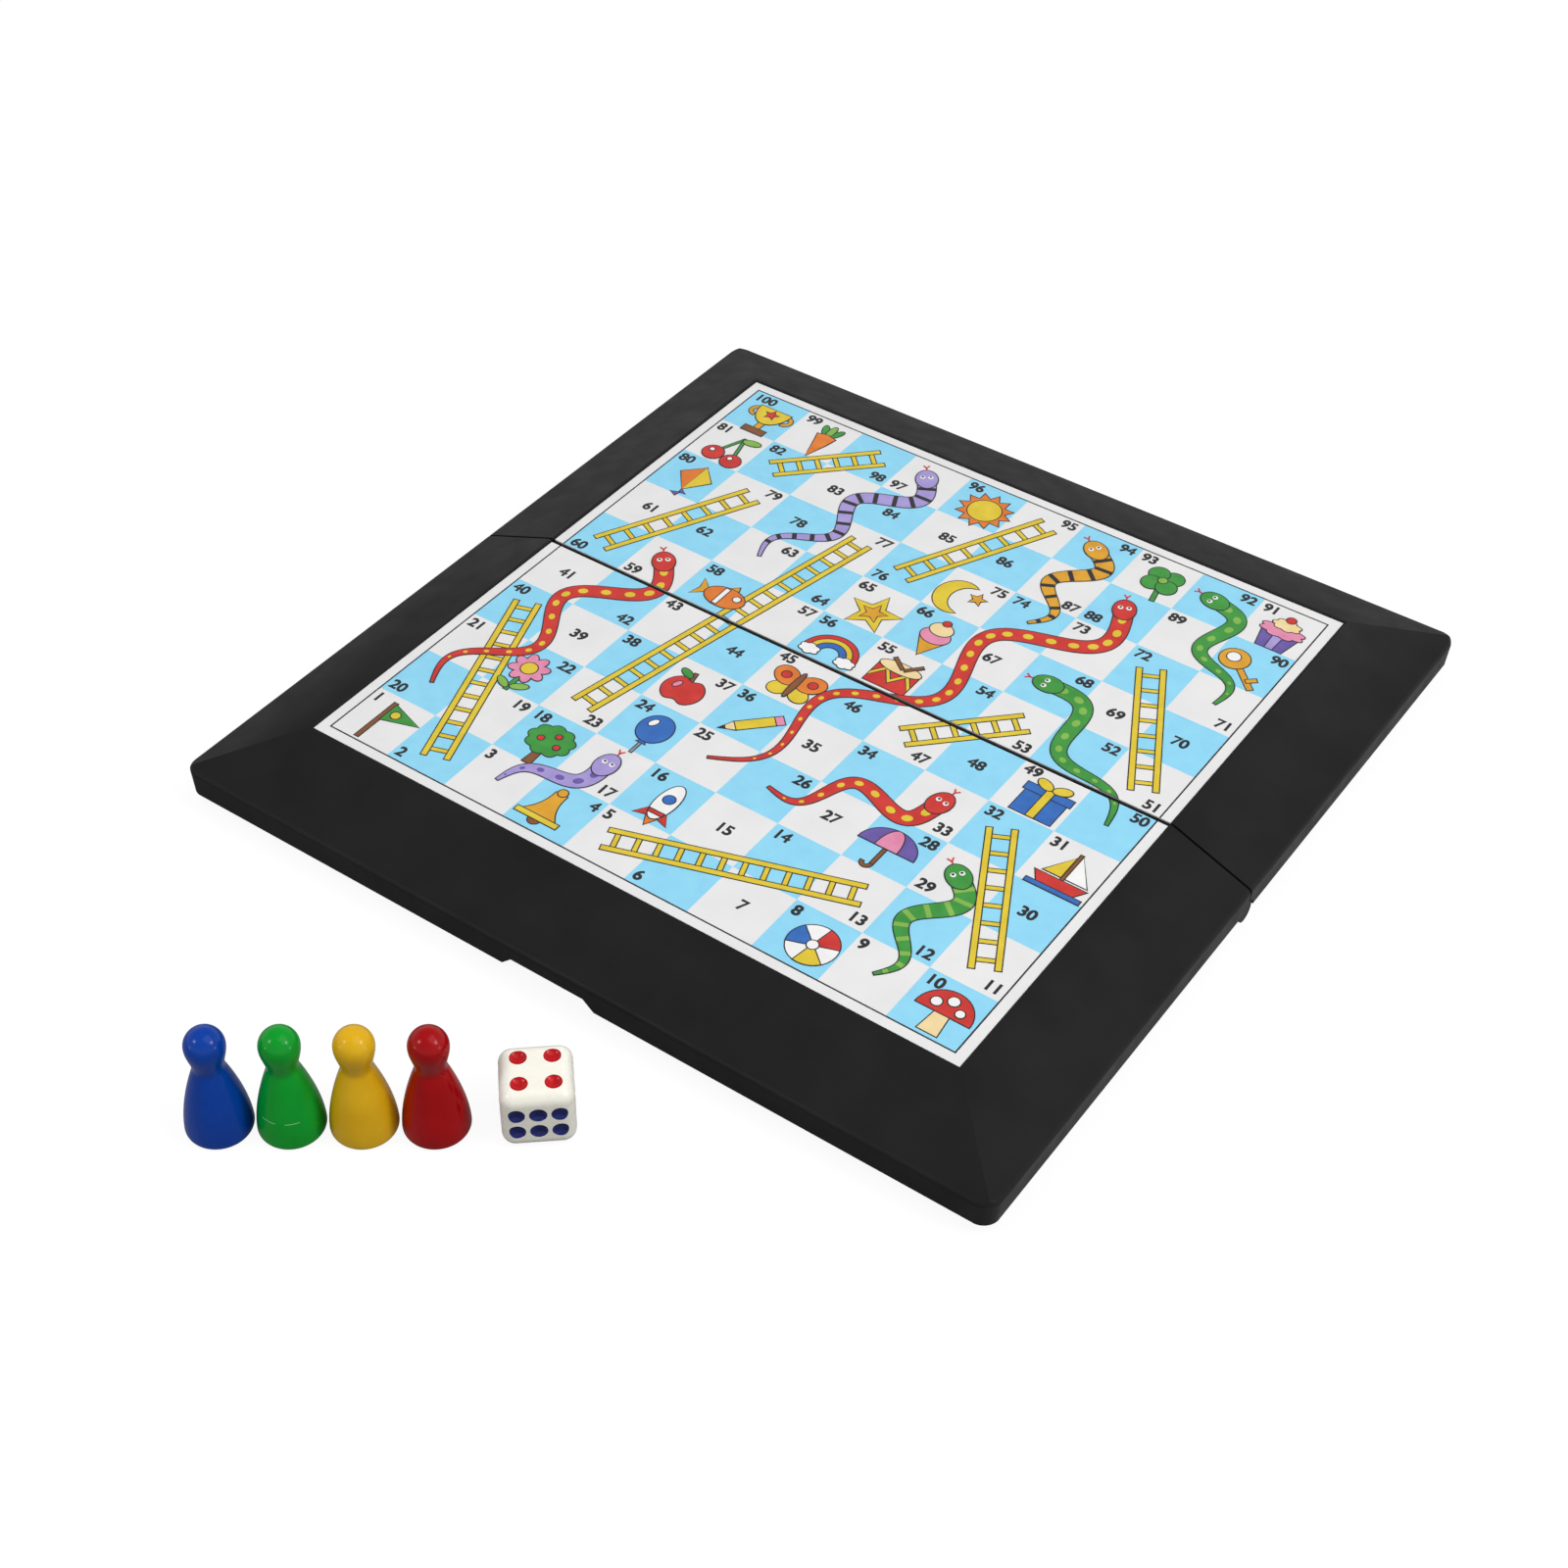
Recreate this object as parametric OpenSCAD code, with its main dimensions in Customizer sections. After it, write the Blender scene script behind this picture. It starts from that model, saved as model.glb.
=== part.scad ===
// Folding snakes and ladders board with magnetic pawns and a die.
// The board lies open on the table plane, z = 0, with its fold along X.
// The origin is the middle of the set's footprint: the board behind, the pawns and the die in front.
// Both halves are the same moulding: the far half is the near half turned half round.

/* [Board] */
// Outside width of the open board, across its widest line
board_size = 200; // [185:1:260]
// Side of the square that the printed sheets fill
print_size = 160; // [130:1:168]
// Height of the outer wall, from its rim to the bevel
wall_height = 6.1; // [5:0.1:14]
// Rise of the bevelled frame, from the wall to the lip round the print
bevel_rise = 7.7; // [5:0.1:14]
// How far the wall draws in at its rim
wall_lean = 0.4; // [0.4:0.1:2]
// Radius of the four outer corners
corner_radius = 4; // [3:0.5:8]

/* [Shell] */
// Thickness of the walls and of the bevelled frame
wall_thickness = 2; // [1.2:0.1:3]
// Thickness of the deck under the sheets
deck_thickness = 2; // [1.2:0.1:3]
// Height of the lip above the print
lip_height = 0.3; // [0.2:0.1:1]
// Width of the flat top of the lip
lip_width = 0.8; // [0.4:0.1:2]

/* [Fold and hinge] */
// Gap between the two halves along the fold
fold_gap = 0.6; // [0.3:0.1:1.2]
// Gap left between the rims when the case is closed
closing_gap = 0.3; // [0.2:0.05:0.6]
// Radius of the hinge knuckles
knuckle_radius = 2.5; // [2:0.1:3.5]
// Length of one knuckle
knuckle_length = 8; // [5:0.5:14]
// End play between neighbouring knuckles
knuckle_gap = 0.3; // [0.2:0.05:0.6]
// Room round a knuckle in the other half
relief_clearance = 0.35; // [0.3:0.05:0.6]
// How far the end knuckle sits back from the rim's side
knuckle_setback = 0.2; // [0.1:0.1:1]
// Radius of a hinge pin
pin_radius = 1; // [0.7:0.1:1.3]
// Running clearance between a pin and the knuckle that turns on it
pin_clearance = 0.05; // [0.02:0.01:0.1]
// Interference of a pin in the knuckles that grip it
pin_press = 0.01; // [0.005:0.005:0.02]
// Plastic left at the closed end of the end knuckle
pin_end_wall = 1.4; // [0.8:0.1:2.5]
// How far a pin's free end stays inside the inner knuckle
pin_recess = 0.5; // [0.2:0.1:1.5]

/* [Standing tabs] */
// Width of a tab along the outer wall
tab_width = 10; // [6:0.5:16]
// Thickness of a tab
tab_thickness = 2; // [1.5:0.1:4]
// Room between a tab and the other half's wall when closed
tab_clearance = 0.5; // [0.3:0.1:1]
// Distance of the right tab from the middle of its wall
right_tab_x = 70; // [60:1:80]
// Distance of the left tab from the middle of its wall
left_tab_x = 46; // [30:1:50]

/* [Finger notch] */
// Width of the notch at the rim
notch_width = 23; // [16:0.5:34]
// Width of the notch at its top
notch_top_width = 18; // [10:0.5:20]
// Depth of the notch, up from the rim
notch_depth = 2.5; // [1.5:0.1:4]
// Offset of the notch from the middle of the wall
notch_offset = 2.2; // [0:0.1:8]

/* [Sheets] */
// Thickness of the printed sheets
print_thickness = 0.3; // [0.2:0.05:0.6]
// Thickness of the steel sheets
steel_thickness = 0.3; // [0.2:0.05:0.6]
// Gap round the sheets in their recess
sheet_clearance = 0.1; // [0.1:0.05:0.5]
// Distance of the sheets from the middle of the fold
sheet_fold_margin = 0.6; // [0.6:0.05:2]

/* [Pawns] */
// Height of a pawn
pawn_height = 26.4; // [24:0.1:34]
// Diameter of the base
pawn_base_d = 13; // [11:0.1:16]
// Diameter of the head
pawn_head_d = 7.8; // [6.5:0.1:10]
// Diameter of the neck
pawn_neck_d = 6; // [4:0.1:6.4]
// Height of the widest line of the head
pawn_head_z = 22.4; // [19:0.1:24.5]
// Height of the neck
pawn_neck_z = 16.8; // [13:0.1:19]
// Radius of the rounded bottom edge
pawn_edge_radius = 1.2; // [0.6:0.1:2]
// How full the body is: 1 is a cone, larger is rounder
pawn_fullness = 1.65; // [1.2:0.05:2.5]
// Diameter of the magnet in the base
magnet_d = 8; // [5:0.1:9]
// Thickness of the magnet
magnet_thickness = 2; // [1:0.1:3]
// How far the magnet is let into the base
magnet_recess = 0.2; // [0.1:0.05:0.5]
// Gap round the magnet
magnet_clearance = 0.05; // [0.02:0.01:0.1]

/* [Die] */
// Side of the die
die_size = 14; // [12:0.5:18]
// Radius of its rounded edges
die_edge_radius = 2.6; // [1.5:0.1:3.5]
// Diameter of a pip at the face
pip_d = 3.4; // [2:0.1:3.6]
// Depth of a pip
pip_depth = 0.8; // [0.3:0.1:1]
// Distance from a face's middle to its outer pips
pip_reach = 3.2; // [2.8:0.1:3.8]
// Distance from a face's middle to a row of the six
pip_row_reach = 2.2; // [1.8:0.1:2.6]
// Distance between neighbouring pips in a row of the six
pip_row_pitch = 4.1; // [3.6:0.1:4.4]

/* [Setting out] */
// Distance of the red pawn in front of the board
pawn_row_front = 37.1; // [30:0.1:80]
// Distance of the red pawn to the right of the board's middle
pawn_row_x = 1.6; // [-40:0.1:40]
// Gap between neighbouring pawns
pawn_gap = 0.5; // [0.3:0.1:17]
// Angle of the row of pawns to the board's front edge
pawn_row_angle = 35.8; // [0:0.1:60]
// Distance of the die in front of the board
die_front = 24.7; // [18:0.1:60]
// Distance of the die to the right of the board's middle
die_x = 16; // [12:0.5:80]
// Turn of the die on the table
die_turn = 41; // [0:1:90]

/* [Hidden] */
$fn = 64;

// Spare length that lets a cut pass right through a face
overcut = 1;
// A corner's round is a hair larger than its distance from the walls, so it crosses them at an edge
corner_ease = 1.01;

// Heights above the table: the knuckles and the tabs stand on it
axis_z = knuckle_radius;
rim_z = axis_z + closing_gap / 2;
shoulder_z = rim_z + wall_height;
lip_z = shoulder_z + bevel_rise;
print_top_z = lip_z - lip_height;
steel_top_z = print_top_z - print_thickness;
recess_z = steel_top_z - steel_thickness;
deck_z = recess_z - deck_thickness;

// Half widths of the frame, from the middle of the board
shoulder_half = board_size / 2;
rim_half = shoulder_half - wall_lean;
print_half = print_size / 2;
recess_half = print_half + sheet_clearance;
lip_half = recess_half + lip_width;

// The hollow follows the frame one wall thickness in
bevel_slope = bevel_rise / (shoulder_half - lip_half);
bevel_skin = wall_thickness * sqrt(1 + bevel_slope * bevel_slope);
inner_rim_half = rim_half - wall_thickness;
inner_shoulder_half = shoulder_half - wall_thickness;
inner_shoulder_z = shoulder_z + bevel_slope * wall_thickness - bevel_skin;
inner_deck_half = shoulder_half - (deck_z - shoulder_z + bevel_skin) / bevel_slope;
fold_face = fold_gap / 2;
fold_inside = fold_face + wall_thickness;

// Hinge: three knuckles at each end of the fold, counted inwards from the end
own_slots = [0, 2];
other_slots = [1];
hinge_end = rim_half - knuckle_setback;
knuckle_step = knuckle_length + knuckle_gap;
relief_radius = knuckle_radius + relief_clearance;
pin_outer_end = hinge_end - pin_end_wall;
hinge_inner_end = hinge_end - 2 * knuckle_step - knuckle_length;
pin_length = pin_outer_end - hinge_inner_end - pin_recess;

// A tab stands clear of the rim of the half that closes on it
tab_outer = inner_rim_half - tab_clearance;
tab_inner = tab_outer - tab_thickness;
tab_root = rim_half - tab_clearance;

magnet_pocket_depth = magnet_thickness + magnet_recess;
pawn_colours = ["mediumblue", "forestgreen", "goldenrod", "firebrick"];

// How far the pawns and the die reach in front of the board sets the fold's place behind the origin
last_place = len(pawn_colours) - 1;
pawn_pitch = pawn_base_d + pawn_gap;
die_middle = die_size / 2 - die_edge_radius;
die_reach = die_middle * (cos(die_turn) + sin(die_turn)) + die_edge_radius;
pawn_row_reach = last_place * pawn_pitch * sin(pawn_row_angle) + pawn_base_d / 2;
set_front = max(pawn_row_front + pawn_row_reach, die_front + die_reach);
fold_y = set_front / 2;
front_y = fold_y - shoulder_half;

// A profile drawn in Y and Z, run along X
module run_along_x(profile) {
    rotate([90, 0, 90])
        linear_extrude(board_size + 2 * overcut, center = true)
            polygon(profile);
}

// A profile drawn in X and Z, run along Y
module run_along_y(profile) {
    rotate([90, 0, 0])
        linear_extrude(board_size + 2 * overcut, center = true)
            polygon(profile);
}

// Crossing the two runs gives the frame its mitred corners
module frame_outside() {
    intersection() {
        run_along_x([
            [-rim_half, rim_z], [-shoulder_half, shoulder_z], [-lip_half, lip_z],
            [-fold_face, lip_z], [-fold_face, rim_z]
        ]);
        run_along_y([
            [-rim_half, rim_z], [-shoulder_half, shoulder_z], [-lip_half, lip_z],
            [lip_half, lip_z], [shoulder_half, shoulder_z], [rim_half, rim_z]
        ]);
    }
}

module frame_hollow() {
    intersection() {
        run_along_x([
            [-inner_rim_half, rim_z - overcut], [-inner_rim_half, rim_z],
            [-inner_shoulder_half, inner_shoulder_z], [-inner_deck_half, deck_z],
            [-fold_inside, deck_z], [-fold_inside, rim_z - overcut]
        ]);
        run_along_y([
            [-inner_rim_half, rim_z - overcut], [-inner_rim_half, rim_z],
            [-inner_shoulder_half, inner_shoulder_z], [-inner_deck_half, deck_z],
            [inner_deck_half, deck_z], [inner_shoulder_half, inner_shoulder_z],
            [inner_rim_half, rim_z], [inner_rim_half, rim_z - overcut]
        ]);
    }
}

// What is taken off a sharp outer corner to round it; the wall's lean makes it a cone
module corner_waste() {
    waste = corner_radius + overcut;
    foot_z = rim_z - overcut;
    lean_per_mm = wall_lean / wall_height;
    difference() {
        translate([0, -waste, foot_z])
            cube([waste, waste, lip_z - foot_z]);
        translate([0, 0, foot_z])
            cylinder(
                h = lip_z - foot_z + overcut,
                r1 = corner_ease * (corner_radius - lean_per_mm * (shoulder_z - foot_z)),
                r2 = corner_ease * (corner_radius + lean_per_mm * (lip_z + overcut - shoulder_z))
            );
    }
}

// A round bar on the hinge axis from one distance along X to another
module hinge_bar(from_x, to_x, radius) {
    translate([from_x, 0, axis_z])
        rotate([0, 90, 0])
            cylinder(h = to_x - from_x, r = radius);
}

module knuckle(slot) {
    outer_x = hinge_end - slot * knuckle_step;
    hinge_bar(outer_x - knuckle_length, outer_x, knuckle_radius);
}

// Room for one of the other half's knuckles; the end one opens through the side wall
module knuckle_relief(slot) {
    outer_x = hinge_end - slot * knuckle_step;
    room_end = slot == 0 ? shoulder_half + overcut : outer_x + knuckle_gap;
    hinge_bar(outer_x - knuckle_length - knuckle_gap, room_end, relief_radius);
}

// The two ends of the fold: this half has two knuckles on the right and one on the left
module own_knuckles() {
    for (slot = own_slots)
        knuckle(slot);
    for (slot = other_slots)
        mirror([1, 0, 0])
            knuckle(slot);
}

module other_knuckle_reliefs() {
    for (slot = other_slots)
        knuckle_relief(slot);
    for (slot = own_slots)
        mirror([1, 0, 0])
            knuckle_relief(slot);
}

// The right pin is gripped, the left one turns, and a groove lets both in from the middle
module pin_bores() {
    running_radius = pin_radius + pin_clearance;
    groove_end = hinge_inner_end - pin_length;
    hinge_bar(hinge_inner_end - overcut, pin_outer_end, pin_radius - pin_press);
    mirror([1, 0, 0])
        hinge_bar(hinge_inner_end, hinge_end, running_radius);
    for (side = [0, 1])
        mirror([side, 0, 0])
            hinge_bar(groove_end, hinge_inner_end, running_radius);
}

// Stands on the table, and slips inside the other half's wall when the case closes
module standing_tab(x) {
    translate([x - tab_width / 2, -tab_outer, 0])
        cube([tab_width, tab_thickness, shoulder_z]);
    translate([x - tab_width / 2, -tab_root, rim_z])
        cube([tab_width, tab_root - tab_inner, shoulder_z - rim_z]);
}

module finger_notch() {
    profile = [
        [-notch_width / 2, rim_z], [-notch_top_width / 2, rim_z + notch_depth],
        [notch_top_width / 2, rim_z + notch_depth], [notch_width / 2, rim_z],
        [notch_width / 2, rim_z - overcut], [-notch_width / 2, rim_z - overcut]
    ];
    wall_room = wall_lean + wall_thickness + overcut;
    translate([-notch_offset, -inner_rim_half + overcut, 0])
        rotate([90, 0, 0])
            linear_extrude(wall_room + overcut)
                polygon(profile);
}

module half_shell() {
    corner_middle = shoulder_half - corner_radius;
    difference() {
        union() {
            difference() {
                frame_outside();
                frame_hollow();
            }
            own_knuckles();
            standing_tab(right_tab_x);
            standing_tab(-left_tab_x);
        }
        for (side = [0, 1])
            mirror([side, 0, 0])
                translate([corner_middle, -corner_middle, 0])
                    corner_waste();
        translate([-recess_half, -recess_half, recess_z])
            cube([2 * recess_half, recess_half, lip_z - recess_z + overcut]);
        other_knuckle_reliefs();
        pin_bores();
        finger_notch();
    }
}

// The near half of anything, at its place in the set
module near_side() {
    translate([0, fold_y, 0])
        children();
}

// The far half of anything is the near half turned half round
module far_side() {
    translate([0, fold_y, 0])
        rotate([0, 0, 180])
            children();
}

module near_shell() {
    color("#262626")
        near_side()
            half_shell();
}

module far_shell() {
    color("#262626")
        far_side()
            half_shell();
}

module sheet(bottom_z, thickness) {
    translate([-print_half, -print_half, bottom_z])
        cube([print_size, print_half - sheet_fold_margin, thickness]);
}

module near_steel_sheet() {
    color("silver")
        near_side()
            sheet(recess_z, steel_thickness);
}

module far_steel_sheet() {
    color("silver")
        far_side()
            sheet(recess_z, steel_thickness);
}

module near_print_sheet() {
    color("lightblue")
        near_side()
            sheet(steel_top_z, print_thickness);
}

module far_print_sheet() {
    color("lightblue")
        far_side()
            sheet(steel_top_z, print_thickness);
}

module hinge_pin() {
    color("gainsboro")
        hinge_bar(pin_outer_end - pin_length, pin_outer_end, pin_radius);
}

module right_hinge_pin() {
    near_side()
        hinge_pin();
}

module left_hinge_pin() {
    far_side()
        hinge_pin();
}

// Half outline of a pawn: rounded edge, full body, drawn-in neck and round head
edge_steps = 6;
body_steps = 14;
neck_steps = 8;
head_steps = 10;
base_r = pawn_base_d / 2;
neck_r = pawn_neck_d / 2;
head_r = pawn_head_d / 2;
function edge_point(a) = [
    base_r - pawn_edge_radius * (1 - sin(a)),
    pawn_edge_radius * (1 - cos(a))
];
function body_point(t) = [
    neck_r + (base_r - neck_r) * (1 - pow(t, pawn_fullness)),
    pawn_edge_radius + (pawn_neck_z - pawn_edge_radius) * t
];
function neck_point(t) = [
    neck_r + (head_r - neck_r) * (1 - cos(180 * t)) / 2,
    pawn_neck_z + (pawn_head_z - pawn_neck_z) * t
];
function head_point(a) = [
    head_r * cos(a),
    pawn_head_z + (pawn_height - pawn_head_z) * sin(a)
];
pawn_outline = concat(
    [[0, 0]],
    [for (i = [0 : edge_steps]) edge_point(90 * i / edge_steps)],
    [for (i = [1 : body_steps]) body_point(i / body_steps)],
    [for (i = [1 : neck_steps]) neck_point(i / neck_steps)],
    [for (i = [1 : head_steps - 1]) head_point(90 * i / head_steps)],
    [[0, pawn_height]]
);

// Places in the row, counted from the red pawn back to the blue one
module in_row(place) {
    translate([pawn_row_x, front_y - pawn_row_front, 0])
        rotate([0, 0, pawn_row_angle])
            translate([-place * pawn_pitch, 0, 0])
                children();
}

module pawn(colour) {
    pocket_r = magnet_d / 2 + magnet_clearance;
    color(colour)
        difference() {
            rotate_extrude()
                polygon(pawn_outline);
            translate([0, 0, -overcut])
                cylinder(h = magnet_pocket_depth + overcut, r = pocket_r);
        }
}

module magnet() {
    color("dimgray")
        translate([0, 0, magnet_recess])
            cylinder(h = magnet_thickness, d = magnet_d);
}

module blue_pawn() {
    in_row(3)
        pawn(pawn_colours[0]);
}

module green_pawn() {
    in_row(2)
        pawn(pawn_colours[1]);
}

module yellow_pawn() {
    in_row(1)
        pawn(pawn_colours[2]);
}

module red_pawn() {
    in_row(0)
        pawn(pawn_colours[3]);
}

module blue_magnet() {
    in_row(3)
        magnet();
}

module green_magnet() {
    in_row(2)
        magnet();
}

module yellow_magnet() {
    in_row(1)
        magnet();
}

module red_magnet() {
    in_row(0)
        magnet();
}

// Pips of a face, as places on it measured from its middle
function pips(value) = concat(
    value % 2 == 1 ? [[0, 0]] : [],
    value == 2 || value == 3 ? [for (s = [-1, 1]) [s * pip_reach, s * pip_reach]] : [],
    value == 4 || value == 5 ? [for (x = [-1, 1], y = [-1, 1]) [x * pip_reach, y * pip_reach]] : [],
    value == 6 ? [for (x = [-1, 0, 1], y = [-1, 1]) [x * pip_row_pitch, y * pip_row_reach]] : []
);

// Opposite faces add up to seven: each turn brings a face up
die_faces = [
    [4, [0, 0, 0]], [3, [180, 0, 0]], [6, [90, 0, 0]],
    [1, [-90, 0, 0]], [2, [0, 90, 0]], [5, [0, -90, 0]]
];

module die() {
    pip_r = pip_d / 2;
    pip_ball_r = (pip_r * pip_r + pip_depth * pip_depth) / (2 * pip_depth);
    color("ivory")
        translate([die_x, front_y - die_front, die_size / 2])
            rotate([0, 0, die_turn])
                difference() {
                    hull()
                        for (x = [-1, 1], y = [-1, 1], z = [-1, 1])
                            translate(die_middle * [x, y, z])
                                sphere(r = die_edge_radius, $fn = 32);
                    for (face = die_faces)
                        rotate(face[1])
                            for (place = pips(face[0]))
                                translate([place[0], place[1], die_size / 2 - pip_depth + pip_ball_r])
                                    sphere(r = pip_ball_r, $fn = 40);
                }
}

near_shell();
far_shell();
near_steel_sheet();
far_steel_sheet();
near_print_sheet();
far_print_sheet();
right_hinge_pin();
left_hinge_pin();
blue_pawn();
green_pawn();
yellow_pawn();
red_pawn();
blue_magnet();
green_magnet();
yellow_magnet();
red_magnet();
die();
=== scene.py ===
# %% [markdown]
# # A folding snakes and ladders board
# The real thing is two black plastic shells hinged along the middle, with a printed sheet let into each,
# four pawns and a die. The frame holds every moulded piece at its real size. This script dresses it: it
# rounds the moulded edges, prints the sheets, turns smooth pawns, drills the die and gives each surface
# its finish. Everything is in metres, in the frame's own axes: X runs along the fold, Y to the back edge,
# Z up.

# %% Load the frame
from math import atan2, copysign, cos, degrees, exp, pi, radians, sin

import bpy
from mathutils import Euler, Matrix, Vector


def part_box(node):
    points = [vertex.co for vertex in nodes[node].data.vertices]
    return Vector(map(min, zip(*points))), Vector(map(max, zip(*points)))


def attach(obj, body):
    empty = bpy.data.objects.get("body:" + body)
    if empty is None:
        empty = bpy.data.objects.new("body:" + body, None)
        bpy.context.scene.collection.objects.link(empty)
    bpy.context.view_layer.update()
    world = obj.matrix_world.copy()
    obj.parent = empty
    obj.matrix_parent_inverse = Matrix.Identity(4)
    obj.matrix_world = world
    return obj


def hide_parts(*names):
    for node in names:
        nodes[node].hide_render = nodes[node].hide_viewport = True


MM = 0.001
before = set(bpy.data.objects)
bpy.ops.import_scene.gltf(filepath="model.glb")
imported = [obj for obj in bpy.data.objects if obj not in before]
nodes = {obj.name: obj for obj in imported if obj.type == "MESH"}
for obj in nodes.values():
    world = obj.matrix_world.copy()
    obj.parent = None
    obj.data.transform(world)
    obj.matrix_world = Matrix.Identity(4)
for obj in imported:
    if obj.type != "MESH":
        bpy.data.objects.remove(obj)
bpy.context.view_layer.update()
near_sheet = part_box("near_print_sheet")
far_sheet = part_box("far_print_sheet")
FOLD_Y = (near_sheet[1].y + far_sheet[0].y) / 2
PRINT_TOP = near_sheet[1].z

# %% [markdown]
# ## Camera
# The board's straight edges fix where the photographer stood: a lens of about 59 mm, half a metre away,
# looking down at 43 degrees over the front right corner. A camera's axes are its right, up and back
# directions, so those three make its matrix. The small roll is the photographer's own.

# %% Camera
CAMERA_LENS = 58.83
SENSOR_WIDTH = 36.0
CAMERA_AZIMUTH = radians(34.179)
CAMERA_ELEVATION = radians(42.695)
CAMERA_ROLL = radians(1.274)
CAMERA_DISTANCE = 527.28 * MM
camera_aim = Vector((9.789 * MM, FOLD_Y - 36.154 * MM, PRINT_TOP))

back = Vector((
    sin(CAMERA_AZIMUTH) * cos(CAMERA_ELEVATION),
    -cos(CAMERA_AZIMUTH) * cos(CAMERA_ELEVATION),
    sin(CAMERA_ELEVATION),
))
level_right = Vector((cos(CAMERA_AZIMUTH), sin(CAMERA_AZIMUTH), 0))
level_up = back.cross(level_right)
right = level_right * cos(CAMERA_ROLL) + level_up * sin(CAMERA_ROLL)
up = level_up * cos(CAMERA_ROLL) - level_right * sin(CAMERA_ROLL)

camera_data = bpy.data.cameras.new("camera")
camera_data.lens = CAMERA_LENS
camera_data.sensor_width = SENSOR_WIDTH
camera = bpy.data.objects.new("camera", camera_data)
bpy.context.scene.collection.objects.link(camera)
camera.matrix_world = Matrix.Translation(camera_aim + back * CAMERA_DISTANCE) @ (
    Matrix((right, up, back)).transposed().to_4x4()
)
bpy.context.scene.camera = camera
bpy.context.scene.view_settings.view_transform = "Standard"
print("camera at mm:", [round(v / MM, 1) for v in camera.location])

# %% [markdown]
# ## Nodes
# Every finish below is a small net of nodes. Colours are written as they look on screen, so one function
# turns them into the linear light that a renderer adds up. One more adds a node with its settings and its
# links.

# %% Node helpers
def linear(hex_colour):
    """The linear RGBA of an sRGB colour such as #8dd6f2."""
    channels = [int(hex_colour[i:i + 2], 16) / 255 for i in (1, 3, 5)]
    return [c / 12.92 if c <= 0.04045 else ((c + 0.055) / 1.055) ** 2.4 for c in channels] + [1.0]


def per_metre(size_mm):
    """The scale of a pattern whose features are this many millimetres across."""
    return 1000.0 / size_mm


def connect(made, inputs):
    """Sets a node's inputs: a socket or a node's first one is linked, anything else is the value."""
    for name, value in inputs.items():
        if isinstance(value, bpy.types.Node):
            value = value.outputs[0]
        if isinstance(value, bpy.types.NodeSocket):
            made.id_data.links.new(value, made.inputs[name])
        else:
            made.inputs[name].default_value = value


def add(tree, kind, inputs=None, **settings):
    """Adds a shader node: settings are its properties, inputs are as in connect."""
    made = tree.nodes.new("ShaderNode" + kind)
    for name, value in settings.items():
        setattr(made, name, value)
    connect(made, inputs or {})
    return made


def new_finish(name):
    """A new material, with its node tree, its shader and the place of a point on the piece."""
    material = bpy.data.materials.new(name)
    material.use_nodes = True
    tree = material.node_tree
    shader = tree.nodes["Principled BSDF"]
    place = add(tree, "TexCoord").outputs["Object"]
    return material, tree, shader, place


# A noise seldom leaves this range, so it is what gets spread
NOISE_LOW, NOISE_HIGH = 0.3, 0.7


def mottled(tree, place, size_mm, low, high, detail=2.0):
    """A noise of this feature size, spread between two values or two colours."""
    noise = add(tree, "TexNoise", {"Vector": place, "Scale": per_metre(size_mm), "Detail": detail})
    if isinstance(low, str):
        ramp = add(tree, "ValToRGB", {"Fac": noise})
        first, last = ramp.color_ramp.elements
        first.position, first.color = NOISE_LOW, linear(low)
        last.position, last.color = NOISE_HIGH, linear(high)
        return ramp
    return add(tree, "MapRange", {
        "Value": noise, "From Min": NOISE_LOW, "From Max": NOISE_HIGH, "To Min": low, "To Max": high,
    })


# %% [markdown]
# ## Stage
# The set lies on a pale sweep in even studio light. A soft box hangs overhead, two small lamps to the
# left and to the right of the camera put a glint on every pawn, two low ones draw a line of light along
# the board's shoulder, and a dim world, brighter overhead, fills the rest. The floor is matt. For the
# camera it is lifted to white, and what is left of its own shading keeps the shadow. Reflections show it
# dim, and brighter on the right, where it lights the board's wall. They show a dim ceiling too, so black
# plastic stays black.

# %% Floor and light
FLOOR_SIZE = 6.0
FLOOR_LIFT = 0.6
FLOOR_GLOW = 1.52
FLOOR_MIRRORED = 0.1
FLOOR_MIRRORED_RIGHT = 0.85
BRIGHTER_FROM_X = 88 * MM
BRIGHTEST_FROM_X = 118 * MM
FILL_LOW = 0.15
FILL_HIGH = 0.85
WALL_TOP = 0.25
CEILING_START = 0.75
CEILING_STRENGTH = 0.3
LAMP_DISTANCE = 1.1
# The direction of each lamp from the middle of the board, its size in metres and its power in watts
LAMPS = {
    "overhead_box": ((0.45, 0.05, 0.89), 0.8, 2.9),
    "right_glint": ((0.76, 0.11, 0.64), 0.24, 2.9),
    "left_glint": ((-0.38, -0.66, 0.64), 0.18, 1.8),
    "right_edge_lamp": ((0.98, 0.14, 0.12), 0.15, 0.5),
    "left_edge_lamp": ((-0.5, -0.85, 0.12), 0.12, 0.3),
}


def seen_directly(tree, mirrored):
    """One for camera and transmitted rays, a share for reflected ones and zero for scattered light."""
    ray = add(tree, "LightPath").outputs
    glossy = add(tree, "Math", {0: ray["Is Glossy Ray"], 1: mirrored}, operation="MULTIPLY")
    direct = {0: ray["Is Camera Ray"], 1: ray["Is Transmission Ray"]}
    straight = add(tree, "Math", direct, operation="MAXIMUM")
    return add(tree, "Math", {0: straight, 1: glossy}, operation="MAXIMUM")


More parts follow.
